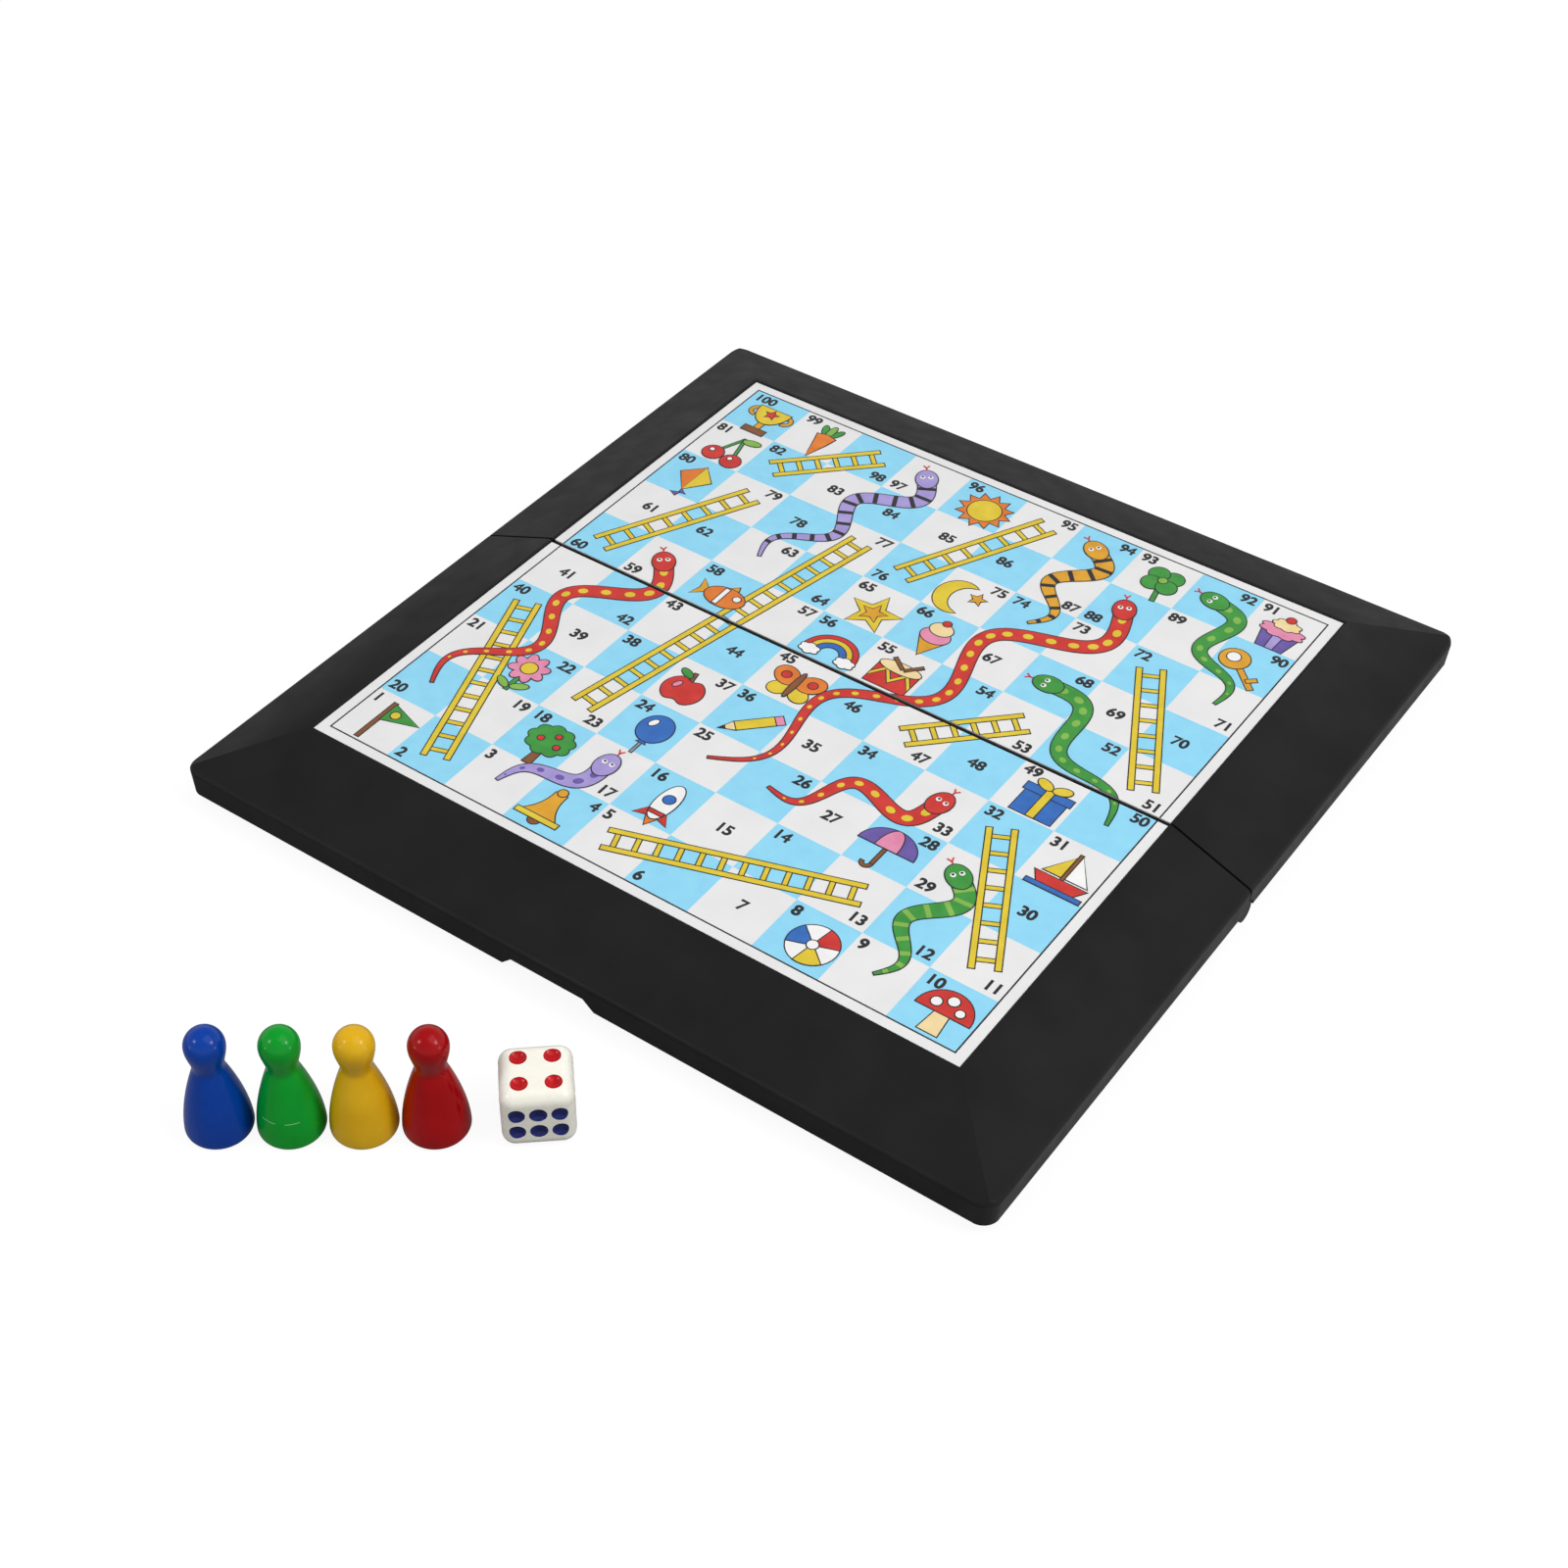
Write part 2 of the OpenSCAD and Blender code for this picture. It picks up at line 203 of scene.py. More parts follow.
def white_sweep():
    # Matt painted board: no gloss, so it shows only the soft shadow
    material, tree, shader, place = new_finish("white_sweep")
    connect(shader, {"Base Color": linear("#8c8c8c"), "Roughness": 0.9, "Specular IOR Level": 0.0})
    glow = add(tree, "Emission", {"Color": linear("#ffffff"), "Strength": FLOOR_GLOW})
    # In reflections the floor is brightest to the right of the board
    across = add(tree, "SeparateXYZ", {"Vector": place}).outputs["X"]
    mirrored = add(tree, "MapRange", {
        "Value": across, "From Min": BRIGHTER_FROM_X, "From Max": BRIGHTEST_FROM_X,
        "To Min": FLOOR_MIRRORED, "To Max": FLOOR_MIRRORED_RIGHT,
    })
    seen = seen_directly(tree, mirrored)
    lift = add(tree, "Math", {0: seen, 1: FLOOR_LIFT}, operation="MULTIPLY")
    mix = add(tree, "MixShader", {0: lift, 1: shader, 2: glow})
    connect(tree.nodes["Material Output"], {"Surface": mix})
    return material


bpy.ops.object.select_all(action="DESELECT")
bpy.ops.mesh.primitive_plane_add(size=FLOOR_SIZE)
floor = bpy.context.object
floor.name = "floor"
floor.data.materials.append(white_sweep())

world = bpy.data.worlds.new("studio")
bpy.context.scene.world = world
world.use_nodes = True
room = world.node_tree
direction = add(room, "TexCoord").outputs["Generated"]
height = add(room, "SeparateXYZ", {"Vector": direction}).outputs["Z"]
fill = add(room, "MapRange", {"Value": height, "To Min": FILL_LOW, "To Max": FILL_HIGH})
dim = add(room, "Background", {"Color": linear("#ffffff"), "Strength": fill})
walls = add(room, "MapRange", {
    "Value": height, "From Min": WALL_TOP, "From Max": CEILING_START,
    "To Min": 1.0, "To Max": CEILING_STRENGTH,
})
white = add(room, "Background", {"Color": linear("#ffffff"), "Strength": walls})
choice = add(room, "MixShader", {0: seen_directly(room, 1.0), 1: dim, 2: white})
connect(room.nodes["World Output"], {"Surface": choice})


def soft_box(name, direction, size, power):
    """A square lamp in this direction from the middle of the board, looking back at it."""
    away = Vector(direction).normalized()
    bpy.ops.object.light_add(type="AREA", location=Vector((0, FOLD_Y, 0)) + away * LAMP_DISTANCE)
    lamp = bpy.context.object
    lamp.name = name
    lamp.data.size = size
    lamp.data.energy = power
    lamp.rotation_euler = (-away).to_track_quat("-Z", "Y").to_euler()


for name, settings in LAMPS.items():
    soft_box(name, *settings)
print("stage:", floor.name, "and", len(LAMPS), "lamps")

# %% [markdown]
# ## Moulded shells
# Each half of the board is one ABS moulding. A tool for moulding has no knife-sharp edges, so every edge
# carries a small round that catches the light. The frame's own solid is exact but sharp. A copy of it has
# its loose triangles merged and its flat faces dissolved back to whole faces, and then only the edges
# that a hand would feel are bevelled: the shoulder and the lip round the print.

# %% Black plastic
def moulded_black_abs():
    # ABS, injection moulded in a spark-eroded tool: black, with a fine grain that turns gloss into a satin
    # sheen. The grain is drawn at 0.5 mm, several times its real size, so that it shows
    material, tree, shader, place = new_finish("moulded_black_abs")
    grain = mottled(tree, place, 0.5, 0.0, 1.0)
    sink = mottled(tree, place, 22, 0.0, 1.0)
    fine = add(tree, "Bump", {"Height": grain, "Strength": 0.25, "Distance": 0.012 * MM})
    slow = add(tree, "Bump", {"Height": sink, "Strength": 0.5, "Distance": 0.25 * MM, "Normal": fine})
    connect(shader, {
        "Base Color": mottled(tree, place, 14, "#1d1d1e", "#222223"),
        "Roughness": mottled(tree, place, 6, 0.40, 0.50),
        "Normal": slow,
        "IOR": 1.5,
        # The grain shadows itself, so less is reflected than from polished ABS
        "Specular IOR Level": 0.08,
    })
    return material


black_abs = moulded_black_abs()

# %% Helpers for modelling by hand
MERGE_DISTANCE = 0.0002 * MM
FLAT_ANGLE = radians(0.5)


def new_piece(name, data):
    """A new object in the scene."""
    piece = bpy.data.objects.new(name, data)
    bpy.context.scene.collection.objects.link(piece)
    return piece


def work_on(*pieces):
    """Makes these the only selected objects and the first of them the active one."""
    bpy.ops.object.select_all(action="DESELECT")
    for piece in pieces:
        piece.select_set(True)
    bpy.context.view_layer.objects.active = pieces[0]


def edit_all(piece):
    """Goes into edit mode on one piece with all of it selected."""
    work_on(piece)
    bpy.ops.object.mode_set(mode="EDIT")
    bpy.ops.mesh.select_all(action="SELECT")


def leave_edit_mode():
    """Back to object mode, with vertices as the kind that the next edit selects."""
    bpy.ops.mesh.select_mode(type="VERT")
    bpy.ops.object.mode_set(mode="OBJECT")


def merged_copy(node, name):
    """A copy of a CAD node with its triangles merged and its flat faces made whole."""
    piece = new_piece(name, nodes[node].data.copy())
    work_on(piece)
    bpy.ops.mesh.customdata_custom_splitnormals_clear()
    edit_all(piece)
    bpy.ops.mesh.remove_doubles(threshold=MERGE_DISTANCE)
    bpy.ops.mesh.dissolve_limited(angle_limit=FLAT_ANGLE)
    leave_edit_mode()
    return piece


def select_where(piece, kind, wanted):
    """Goes into edit mode with only the edges or faces selected that pass the test. Returns how many."""
    edit_all(piece)
    bpy.ops.mesh.select_mode(type=kind)
    bpy.ops.mesh.select_all(action="DESELECT")
    bpy.ops.object.mode_set(mode="OBJECT")
    items = piece.data.edges if kind == "EDGE" else piece.data.polygons
    chosen = [item for item in items if wanted(item)]
    for item in chosen:
        item.select = True
    bpy.ops.object.mode_set(mode="EDIT")
    return len(chosen)


def round_edges(piece, wanted, radius, segments):
    """Bevels the edges whose two ends both pass the test."""
    points = piece.data.vertices
    count = select_where(piece, "EDGE", lambda edge: all(wanted(points[i].co) for i in edge.vertices))
    bpy.ops.mesh.bevel(offset=radius, segments=segments, affect="EDGES")
    leave_edit_mode()
    return count


def smooth_moulding(piece, sharp_degrees):
    """Smooth shading up to an angle, with normals that keep the large faces flat."""
    work_on(piece)
    bpy.ops.object.shade_smooth_by_angle(angle=radians(sharp_degrees))
    even = piece.modifiers.new("even_normals", "WEIGHTED_NORMAL")
    even.keep_sharp = True
    bpy.ops.object.modifier_apply(modifier=even.name)


# %% Shells
WALL_HEIGHT = 6.1 * MM
BEVEL_RISE = 7.7 * MM
SHOULDER_ROUND = 0.9 * MM
SHOULDER_ZONE = 2.0 * MM
LIP_ROUND = 0.3 * MM
LIP_ZONE = 0.5 * MM
CORNER_RISE = 0.7 * MM
CORNER_ZONE = 6.0 * MM
CORNER_TURN = 0.05
CORNER_LEAN = 0.6
CLOSE = 0.02 * MM
lip_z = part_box("near_shell")[1].z
shoulder_z = lip_z - BEVEL_RISE
rim_z = shoulder_z - WALL_HEIGHT
board_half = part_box("near_shell")[1].x
print_half = near_sheet[1].x


def reach(point):
    """How far a point is from the middle of the board, square to its nearest side."""
    return max(abs(point.x), abs(point.y - FOLD_Y))


def on_shoulder(point):
    at_edge = reach(point) > board_half - SHOULDER_ZONE
    return at_edge and -CLOSE < point.z - shoulder_z < CORNER_RISE


def on_lip_edge(point):
    in_line = abs(reach(point) - print_half) < LIP_ZONE
    return in_line and abs(point.z - lip_z) < CLOSE


def on_outer_corner(face):
    """True for a wall face that looks outwards across a corner of the board."""
    x, y = face.center.x, face.center.y - FOLD_Y
    outward = min(face.normal.x * copysign(1, x), face.normal.y * copysign(1, y))
    upright = abs(face.normal.z) < CORNER_LEAN
    return outward > CORNER_TURN and upright and min(abs(x), abs(y)) > board_half - CORNER_ZONE


def open_edges(piece):
    """The edges, as pairs of vertices, that have a face on one side only."""
    uses = {}
    for face in piece.data.polygons:
        for pair in face.edge_keys:
            uses[pair] = uses.get(pair, 0) + 1
    return {pair for pair, count in uses.items() if count == 1}


def renew_corners(shell):
    """Swaps the triangles round each outer corner for clean strips from the shoulder down to the rim."""
    select_where(shell, "FACE", on_outer_corner)
    bpy.ops.mesh.delete(type="FACE")
    bpy.ops.mesh.select_all(action="SELECT")
    bpy.ops.mesh.dissolve_limited(angle_limit=FLAT_ANGLE)
    leave_edit_mode()
    points = shell.data.vertices
    for side in (-1, 1):
        bare = open_edges(shell)

        def ends_a_strip(edge):
            ends = [points[i].co for i in edge.vertices]
            level = all(p.z > shoulder_z - CLOSE for p in ends) or all(abs(p.z - rim_z) < CLOSE for p in ends)
            return edge.key in bare and level and ends[0].x * side > 0

        select_where(shell, "EDGE", ends_a_strip)
        bpy.ops.mesh.bridge_edge_loops()
        leave_edit_mode()


for half in ("near", "far"):
    shell = merged_copy(f"{half}_shell", f"{half}_shell_moulding")
    renew_corners(shell)
    shoulders = round_edges(shell, on_shoulder, SHOULDER_ROUND, segments=4)
    lips = round_edges(shell, on_lip_edge, LIP_ROUND, segments=3)
    smooth_moulding(shell, sharp_degrees=25)
    shell.data.materials.clear()
    shell.data.materials.append(black_abs)
    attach(shell, f"{half}_half")
    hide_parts(f"{half}_shell")
    print(shell.name, "has", shoulders, "shoulder and", lips, "lip edges rounded")

# %% [markdown]
# ## Hidden metal
# Under each print lies a thin steel sheet that the pawns' magnets hold to, and two wire pins carry the
# hinge. Their shapes in the frame are already right, so only their finish is made here.

# %% Steel and magnets
STREAK_STRETCH = (0.05, 1.0, 1.0)


def drawn_steel(name, colour, grain_mm):
    # Rolled or drawn steel: bright metal with fine streaks along its length, X
    material, tree, shader, place = new_finish(name)
    along = add(tree, "Mapping", {"Vector": place, "Scale": STREAK_STRETCH})
    connect(shader, {
        "Base Color": linear(colour),
        "Roughness": mottled(tree, along, grain_mm, 0.28, 0.45, detail=4.0),
        "Metallic": 1.0,
    })
    return material


def sintered_ferrite():
    # Pressed and fired ferrite: dark grey, dull, with a fine grit
    material, tree, shader, place = new_finish("sintered_ferrite")
    connect(shader, {
        "Base Color": mottled(tree, place, 0.4, "#34343a", "#45454b"),
        "Roughness": mottled(tree, place, 0.7, 0.5, 0.7),
        "Metallic": 0.4,
    })
    return material


tinned_sheet = drawn_steel("rolled_tinned_steel", "#c4c4c6", 0.3)
wire = drawn_steel("drawn_steel_wire", "#cacaca", 0.2)
ferrite = sintered_ferrite()
metal = {f"{half}_steel_sheet": tinned_sheet for half in ("near", "far")}
metal |= {f"{side}_hinge_pin": wire for side in ("left", "right")}
metal |= {f"{colour}_magnet": ferrite for colour in ("blue", "green", "yellow", "red")}
for node, finish in metal.items():
    nodes[node].data.materials[0] = finish
print("metal finishes on", len(metal), "nodes")

# %% [markdown]
# ## Printed sheets
# The sheets are white film, screen printed: a checker of pale blue squares inside a thin border, plain
# numbers, ladders, snakes and small pictures. Ink could be a picture wrapped on the sheet, but then it
# has no edge of its own. Here each ink is a flat outline, filled and lifted a hundredth of a millimetre
# or so for each colour that is laid over another, so the print stays sharp at any distance and each ink
# has its own finish.

# %% Film and inks
def white_film():
    # Calendered vinyl film: off-white, even, with a soft gloss and a faint orange-peel surface
    material, tree, shader, place = new_finish("white_vinyl_film")
    peel = mottled(tree, place, 1.2, 0.0, 1.0)
    bump = add(tree, "Bump", {"Height": peel, "Strength": 0.15, "Distance": 0.01 * MM})
    connect(shader, {
        "Base Color": mottled(tree, place, 9, "#e2e1e1", "#e7e6e6"),
        "Roughness": mottled(tree, place, 5, 0.42, 0.52),
        "Normal": bump,
    })
    return material


def screen_ink(name, light, dark):
    # Screen-printing ink: a thin coat whose colour drifts a little where it was laid thicker
    material, tree, shader, place = new_finish(f"screen_ink_{name}")
    connect(shader, {
        "Base Color": mottled(tree, place, 3.5, dark, light, detail=4.0),
        "Roughness": mottled(tree, place, 4, 0.40, 0.52),
    })
    return material


film = white_film()
for half in ("near", "far"):
    nodes[f"{half}_print_sheet"].data.materials[0] = film
INK_COLOURS = {
    "sky": ("#90d7f2", "#89d0ee"),
    "black": ("#26262a", "#1c1c20"),
    "white": ("#f2f1f0", "#eae9e8"),
    "grey": ("#9a9aa0", "#8c8c92"),
    "yellow": ("#e2c834", "#d6ba24"),
    "gold": ("#e0a526", "#d0921a"),
    "orange": ("#e5812c", "#d66f1e"),
    "red": ("#d2342c", "#c0261f"),
    "pink": ("#e590b0", "#d97fa2"),
    "purple": ("#6d5aa8", "#5e4b98"),
    "lilac": ("#a99ad6", "#9a8ac8"),
    "blue": ("#2f6fc0", "#255fae"),
    "green": ("#3d9a3c", "#2f8a31"),
    "leaf": ("#86b94e", "#78aa42"),
    "brown": ("#8a552c", "#794822"),
    "cream": ("#f0d9a4", "#e6cb92"),
}
inks = {name: screen_ink(name, light, dark) for name, (light, dark) in INK_COLOURS.items()}
print(len(inks), "inks")

# %% [markdown]
# ## Outlines
# A printer's artwork is made of closed outlines. These helpers draw them in millimetres from the middle
# of the board or of a picture: ovals, arcs, bars, stars and cloud edges, each from a short formula. A
# keyline, the dark line round a shape, is the same outline grown by a fraction of a millimetre and
# printed underneath.

# %% Outline helpers
ARC_STEPS = 28
WEDGE_STEPS = 10
BUMP_STEPS = 10
KEYLINE = 0.26
MITRE_LIMIT = 0.5


def on_oval(x, y, rx, ry, angle):
    return Vector((x + rx * cos(angle), y + ry * sin(angle)))


def arc(x, y, rx, ry, start=0, end=360, steps=ARC_STEPS):
    """Points along an ellipse from one angle to another, in degrees."""
    angles = [radians(start + (end - start) * i / steps) for i in range(steps + 1)]
    return [on_oval(x, y, rx, ry, a) for a in angles]


def oval(x, y, rx, ry=None, turn=0):
    points = arc(0, 0, rx, ry or rx)[:-1]
    swing = Matrix.Rotation(radians(turn), 2)
    return [swing @ p + Vector((x, y)) for p in points]


def wedge(x, y, radius, start, end):
    return [Vector((x, y))] + arc(x, y, radius, radius, start, end, WEDGE_STEPS)


def band(x, y, outer, inner, start, end):
    return arc(x, y, outer, outer, start, end) + arc(x, y, inner, inner, end, start)


def bar(x0, y0, x1, y1, width):
    along = Vector((x1 - x0, y1 - y0)).normalized() * width / 2
    across = Vector((-along.y, along.x))
    first, last = Vector((x0, y0)), Vector((x1, y1))
    return [first - across, last - across, last + across, first + across]


def burst(x, y, outer, inner, count):
    """A star with this many points, one of them upwards."""
    points = []
    for i in range(2 * count):
        radius = inner if i % 2 else outer
        points.append(on_oval(x, y, radius, radius, pi / 2 + pi * i / count))
    return points


def scallops(x, y, rx, ry, count, depth):
    """An oval with this many round bumps, as on a cloud or a daisy."""
    points = []
    for i in range(BUMP_STEPS * count):
        angle = 2 * pi * i / (BUMP_STEPS * count)
        swell = 1 - depth + depth * abs(sin(count * angle / 2))
        points.append(on_oval(x, y, rx * swell, ry * swell, angle))
    return points


def grown(outline, reach_mm):
    """The outline moved outwards, with its corners mitred but not drawn out."""
    count = len(outline)
    turn = sum(outline[i - 1].cross(outline[i]) for i in range(count))
    side = reach_mm if turn > 0 else -reach_mm
    moved = []
    for i, point in enumerate(outline):
        before = (point - outline[i - 1]).normalized()
        after = (outline[(i + 1) % count] - point).normalized()
        push = Vector((before.y + after.y, -before.x - after.x))
        moved.append(point + push * side / max(1 + before.dot(after), MITRE_LIMIT))
    return moved


# %% [markdown]
# ## Laying down ink
# The artwork is kept as a list of outlines for each subject, height and ink. Outlines that share a height
# never overlap, because a filled curve leaves a hole where two of its loops cross. A flat curve is
# filled, given its thickness and turned into a mesh, which is cut at the fold so that each half of the
# board carries its own print.

# %% Ink pieces
LAYER = 0.012 * MM
artwork = {}


def print_ink(subject, layer, ink, outline):
    """Adds an outline, in mm from the middle of the board, to the artwork."""
    artwork.setdefault((subject, layer, ink), []).append(outline)


def print_stack(subject, layer, shapes, at=(0, 0), scale=1):
    """Prints outlines one over another, each on its own keyline. A shape is an ink and its outlines."""
    for ink, *outlines in shapes:
        for outline in outlines:
            placed = [Vector(point) * scale + Vector(at) for point in outline]
            print_ink(subject, layer, "black", grown(placed, KEYLINE))
            print_ink(subject, layer + 1, ink, placed)
            layer += 2


def solid_ink(outlines, layer, ink):
    """A closed mesh that stands on the sheet and is as high as its layer."""
    curve = bpy.data.curves.new("ink", "CURVE")
    curve.dimensions = "2D"
    curve.fill_mode = "BOTH"
    height = layer * LAYER
    curve.extrude = height / 2 / MM
    for outline in outlines:
        spline = curve.splines.new("POLY")
        spline.points.add(len(outline) - 1)
        spline.use_cyclic_u = True
        for corner, point in zip(spline.points, outline):
            corner.co = (point.x, point.y, 0, 1)
    piece = new_piece("ink", curve)
    piece.scale = (MM, MM, MM)
    piece.location = (0, FOLD_Y, PRINT_TOP + height / 2)
    work_on(piece)
    bpy.ops.object.convert(target="MESH")
    piece = bpy.context.object
    bpy.ops.object.transform_apply()
    piece.data.materials.append(inks[ink])
    return piece


def close_mesh(piece, merge_distance=MERGE_DISTANCE):
    """Merges a mesh's seams and turns its faces outwards."""
    edit_all(piece)
    bpy.ops.mesh.remove_doubles(threshold=merge_distance)
    bpy.ops.mesh.normals_make_consistent(inside=False)
    leave_edit_mode()


def cut_at_fold(piece, half):
    """A copy of the piece with only what lies over one half's sheet, or None if nothing does."""
    part = new_piece(piece.name, piece.data.copy())
    edge = near_sheet[1].y if half == "near" else far_sheet[0].y
    edit_all(part)
    bpy.ops.mesh.bisect(
        plane_co=(0, edge, 0), plane_no=(0, 1, 0), use_fill=True,
        clear_outer=half == "near", clear_inner=half == "far",
    )
    leave_edit_mode()
    if not part.data.polygons:
        bpy.data.objects.remove(part)
        return None
    return part


def join_as(pieces, name):
    """Joins pieces into one, each keeping its ink."""
    work_on(*pieces)
    if len(pieces) > 1:
        bpy.ops.object.join()
    joined = bpy.context.object
    joined.name = name
    return joined


def lay_on_halves(subject, pieces):
    """Cuts a subject's ink at the fold and lets each part ride on its half of the board."""
    for half in ("near", "far"):
        parts = [part for part in (cut_at_fold(piece, half) for piece in pieces) if part]
        printed = join_as(parts, f"{half}_{subject}")
        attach(printed, f"{half}_half")
        print(printed.name, len(printed.data.polygons), "faces in", len(printed.data.materials), "inks")
    for piece in pieces:
        bpy.data.objects.remove(piece)


def print_subject(subject):
    """Makes the ink of everything drawn for a subject."""
    pieces = []
    for (name, layer, ink), outlines in sorted(artwork.items()):
        if name == subject:
            piece = solid_ink(outlines, layer, ink)
            close_mesh(piece)
            pieces.append(piece)
    lay_on_halves(subject, pieces)


# %% [markdown]
# ## Squares and border
# Ten rows of ten squares run to and fro from the front left corner: odd numbers stay white and even ones
# are blue.

# %% Squares
SQUARES_ACROSS = 10
CELL = 15.5
BORDER_LINE = 0.36
PRINT_TRAP = 0.01
SQUARE_LAYER = 1
BORDER_LAYER = 2
grid_half = SQUARES_ACROSS * CELL / 2


def square_middle(number):
    """The middle of a numbered square, in mm from the middle of the board."""
    row, step = divmod(number - 1, SQUARES_ACROSS)
    column = step if row % 2 == 0 else SQUARES_ACROSS - 1 - step
    return Vector(((column + 0.5) * CELL - grid_half, (row + 0.5) * CELL - grid_half))


def square_outline(half_width):
    return [Vector(corner) * half_width for corner in ((-1, -1), (1, -1), (1, 1), (-1, 1))]


LAST_SQUARE = SQUARES_ACROSS ** 2
for number in range(2, LAST_SQUARE + 1, 2):
    outline = [corner + square_middle(number) for corner in square_outline(CELL / 2 - PRINT_TRAP)]
    print_ink("squares", SQUARE_LAYER, "sky", outline)
for side in (1, -1):
    print_ink("squares", BORDER_LAYER, "black", square_outline(grid_half + side * BORDER_LINE / 2))
print_subject("squares")

# %% [markdown]
# ## Ladders
# A ladder is two rails with rungs between them, yellow with a dark keyline. The rungs go down first and
# the rails over them. Each is set by the square that it starts from and the square that it leads to.

# %% Ladders
LADDERS = [(2, 40), (5, 13), (11, 32), (23, 77), (47, 53), (51, 72), (60, 79), (76, 95), (82, 98)]
LADDER_WIDTH = 5.2
RAIL_WIDTH = 1.15
RUNG_WIDTH = 0.9
RUNG_PITCH = 4.4
LADDER_OVERHANG = 2.4
RUNG_LAYER = 3
RAIL_LAYER = 5
# Where ladders and snakes run and half how wide they are there, so that numbers can keep clear of them
crossed = []


def draw_ladder(foot_square, top_square):
    foot, top = square_middle(foot_square), square_middle(top_square)
    along = (top - foot).normalized()
    across = Vector((-along.y, along.x)) * LADDER_WIDTH / 2
    low, high = foot - along * LADDER_OVERHANG, top + along * LADDER_OVERHANG
    rungs = int((high - low).length / RUNG_PITCH)
    for i in range(rungs):
        middle = low + (high - low) * (i + 0.5) / rungs
        crossed.append((middle, LADDER_WIDTH / 2 + RAIL_WIDTH))
        rung = bar(*(middle - across), *(middle + across), RUNG_WIDTH)
        print_stack("ladders", RUNG_LAYER, [("yellow", rung)])
    for side in (across, -across):
        rail = bar(*(low + side), *(high + side), RAIL_WIDTH)
        print_stack("ladders", RAIL_LAYER, [("yellow", rail)])


for foot_square, top_square in LADDERS:
    draw_ladder(foot_square, top_square)
print_subject("ladders")

# %% [markdown]
# ## Snakes
# A snake winds from its head's square down to its tail's, as a sine wave round the straight line between
# them. Its body is a ribbon that narrows to the tail, with spots or stripes along it, and its head is an
# oval with two eyes and a forked tongue.

# %% Snakes
SNAKE_STEP = 0.6
NECK_WIDTH = 4.2
TAIL_WIDTH = 0.6
TAPER = 1.8
SWAY_FADE = 0.35
BODY_LAYER, MARK_LAYER = 7, 9
# For each kind of mark, how many steps apart its marks are and the share of the body that they reach
MARKS = {"spots": (6, 0.93), "stripes": (5, 0.95)}
FIRST_MARK = 3
SPOT_LENGTH, SPOT_WIDTH = 0.30, 0.22
STRIPE_WIDTH = 1.1
# Head square, tail square, half waves, sway in mm, body ink, mark ink, kind of mark
SNAKES = [
    (88, 25, 5, 7.5, "red", "yellow", "spots"),
    (33, 26, 3, 5.0, "red", "yellow", "spots"),
    (59, 20, 4, 6.5, "red", "yellow", "spots"),
    (68, 50, 3, 5.0, "green", "leaf", "spots"),
    (29, 9, 3, 4.0, "green", "leaf", "stripes"),
    (97, 63, 4, 5.0, "lilac", "black", "stripes"),
    (17, 3, 2, 3.5, "lilac", "purple", "spots"),
    (94, 74, 3, 4.5, "gold", "black", "stripes"),
    (92, 71, 3, 4.5, "green", "leaf", "spots"),
]


def draw_snake(head_square, tail_square, half_waves, sway, body_ink, mark_ink, mark):
    head, tail = square_middle(head_square), square_middle(tail_square)
    along = tail - head
    aside = Vector((-along.y, along.x)).normalized()
    count = int(along.length / SNAKE_STEP)
    shares = [i / count for i in range(count + 1)]
    spine = [
        head + along * t + aside * sway * sin(pi * half_waves * t) * (1 - SWAY_FADE * t)
        for t in shares
    ]
    every, last = MARKS[mark]
    left, right = [], []
    for i, (t, point) in enumerate(zip(shares, spine)):
        width = TAIL_WIDTH + (NECK_WIDTH - TAIL_WIDTH) * (1 - t ** TAPER)
        run = (spine[min(i + 1, count)] - spine[max(i - 1, 0)]).normalized()
        side = Vector((-run.y, run.x)) * width / 2
        left.append(point + side)
        right.append(point - side)
        crossed.append((point, width / 2))
        if i % every == FIRST_MARK and t < last:
            if mark == "spots":
                turn = degrees(atan2(run.y, run.x))
                outline = oval(*point, width * SPOT_LENGTH, width * SPOT_WIDTH, turn)
            else:
                outline = bar(*(point + side), *(point - side), STRIPE_WIDTH)
            print_ink("snakes", MARK_LAYER, mark_ink, outline)
    print_stack("snakes", BODY_LAYER, [(body_ink, left + right[::-1])])
    draw_snake_head(spine[0], (spine[0] - spine[2]).normalized(), body_ink)


# %% Snakes' heads
HEAD_LENGTH, HEAD_WIDTH, HEAD_FORWARD = 3.5, 2.6, 0.3
TONGUE_START, TONGUE_END, TONGUE_WIDTH = 2.0, 1.0, 0.34
FORK_LENGTH, FORK_SPREAD, FORK_WIDTH = 1.0, 0.7, 0.3
EYE_FORWARD, EYE_ASIDE, EYE_RADIUS = 0.7, 0.95, 0.62
PUPIL_FORWARD, PUPIL_RADIUS = 0.15, 0.32
TONGUE_LAYER, FORK_LAYER, SKULL_LAYER, EYE_LAYER, PUPIL_LAYER = 10, 11, 12, 14, 15


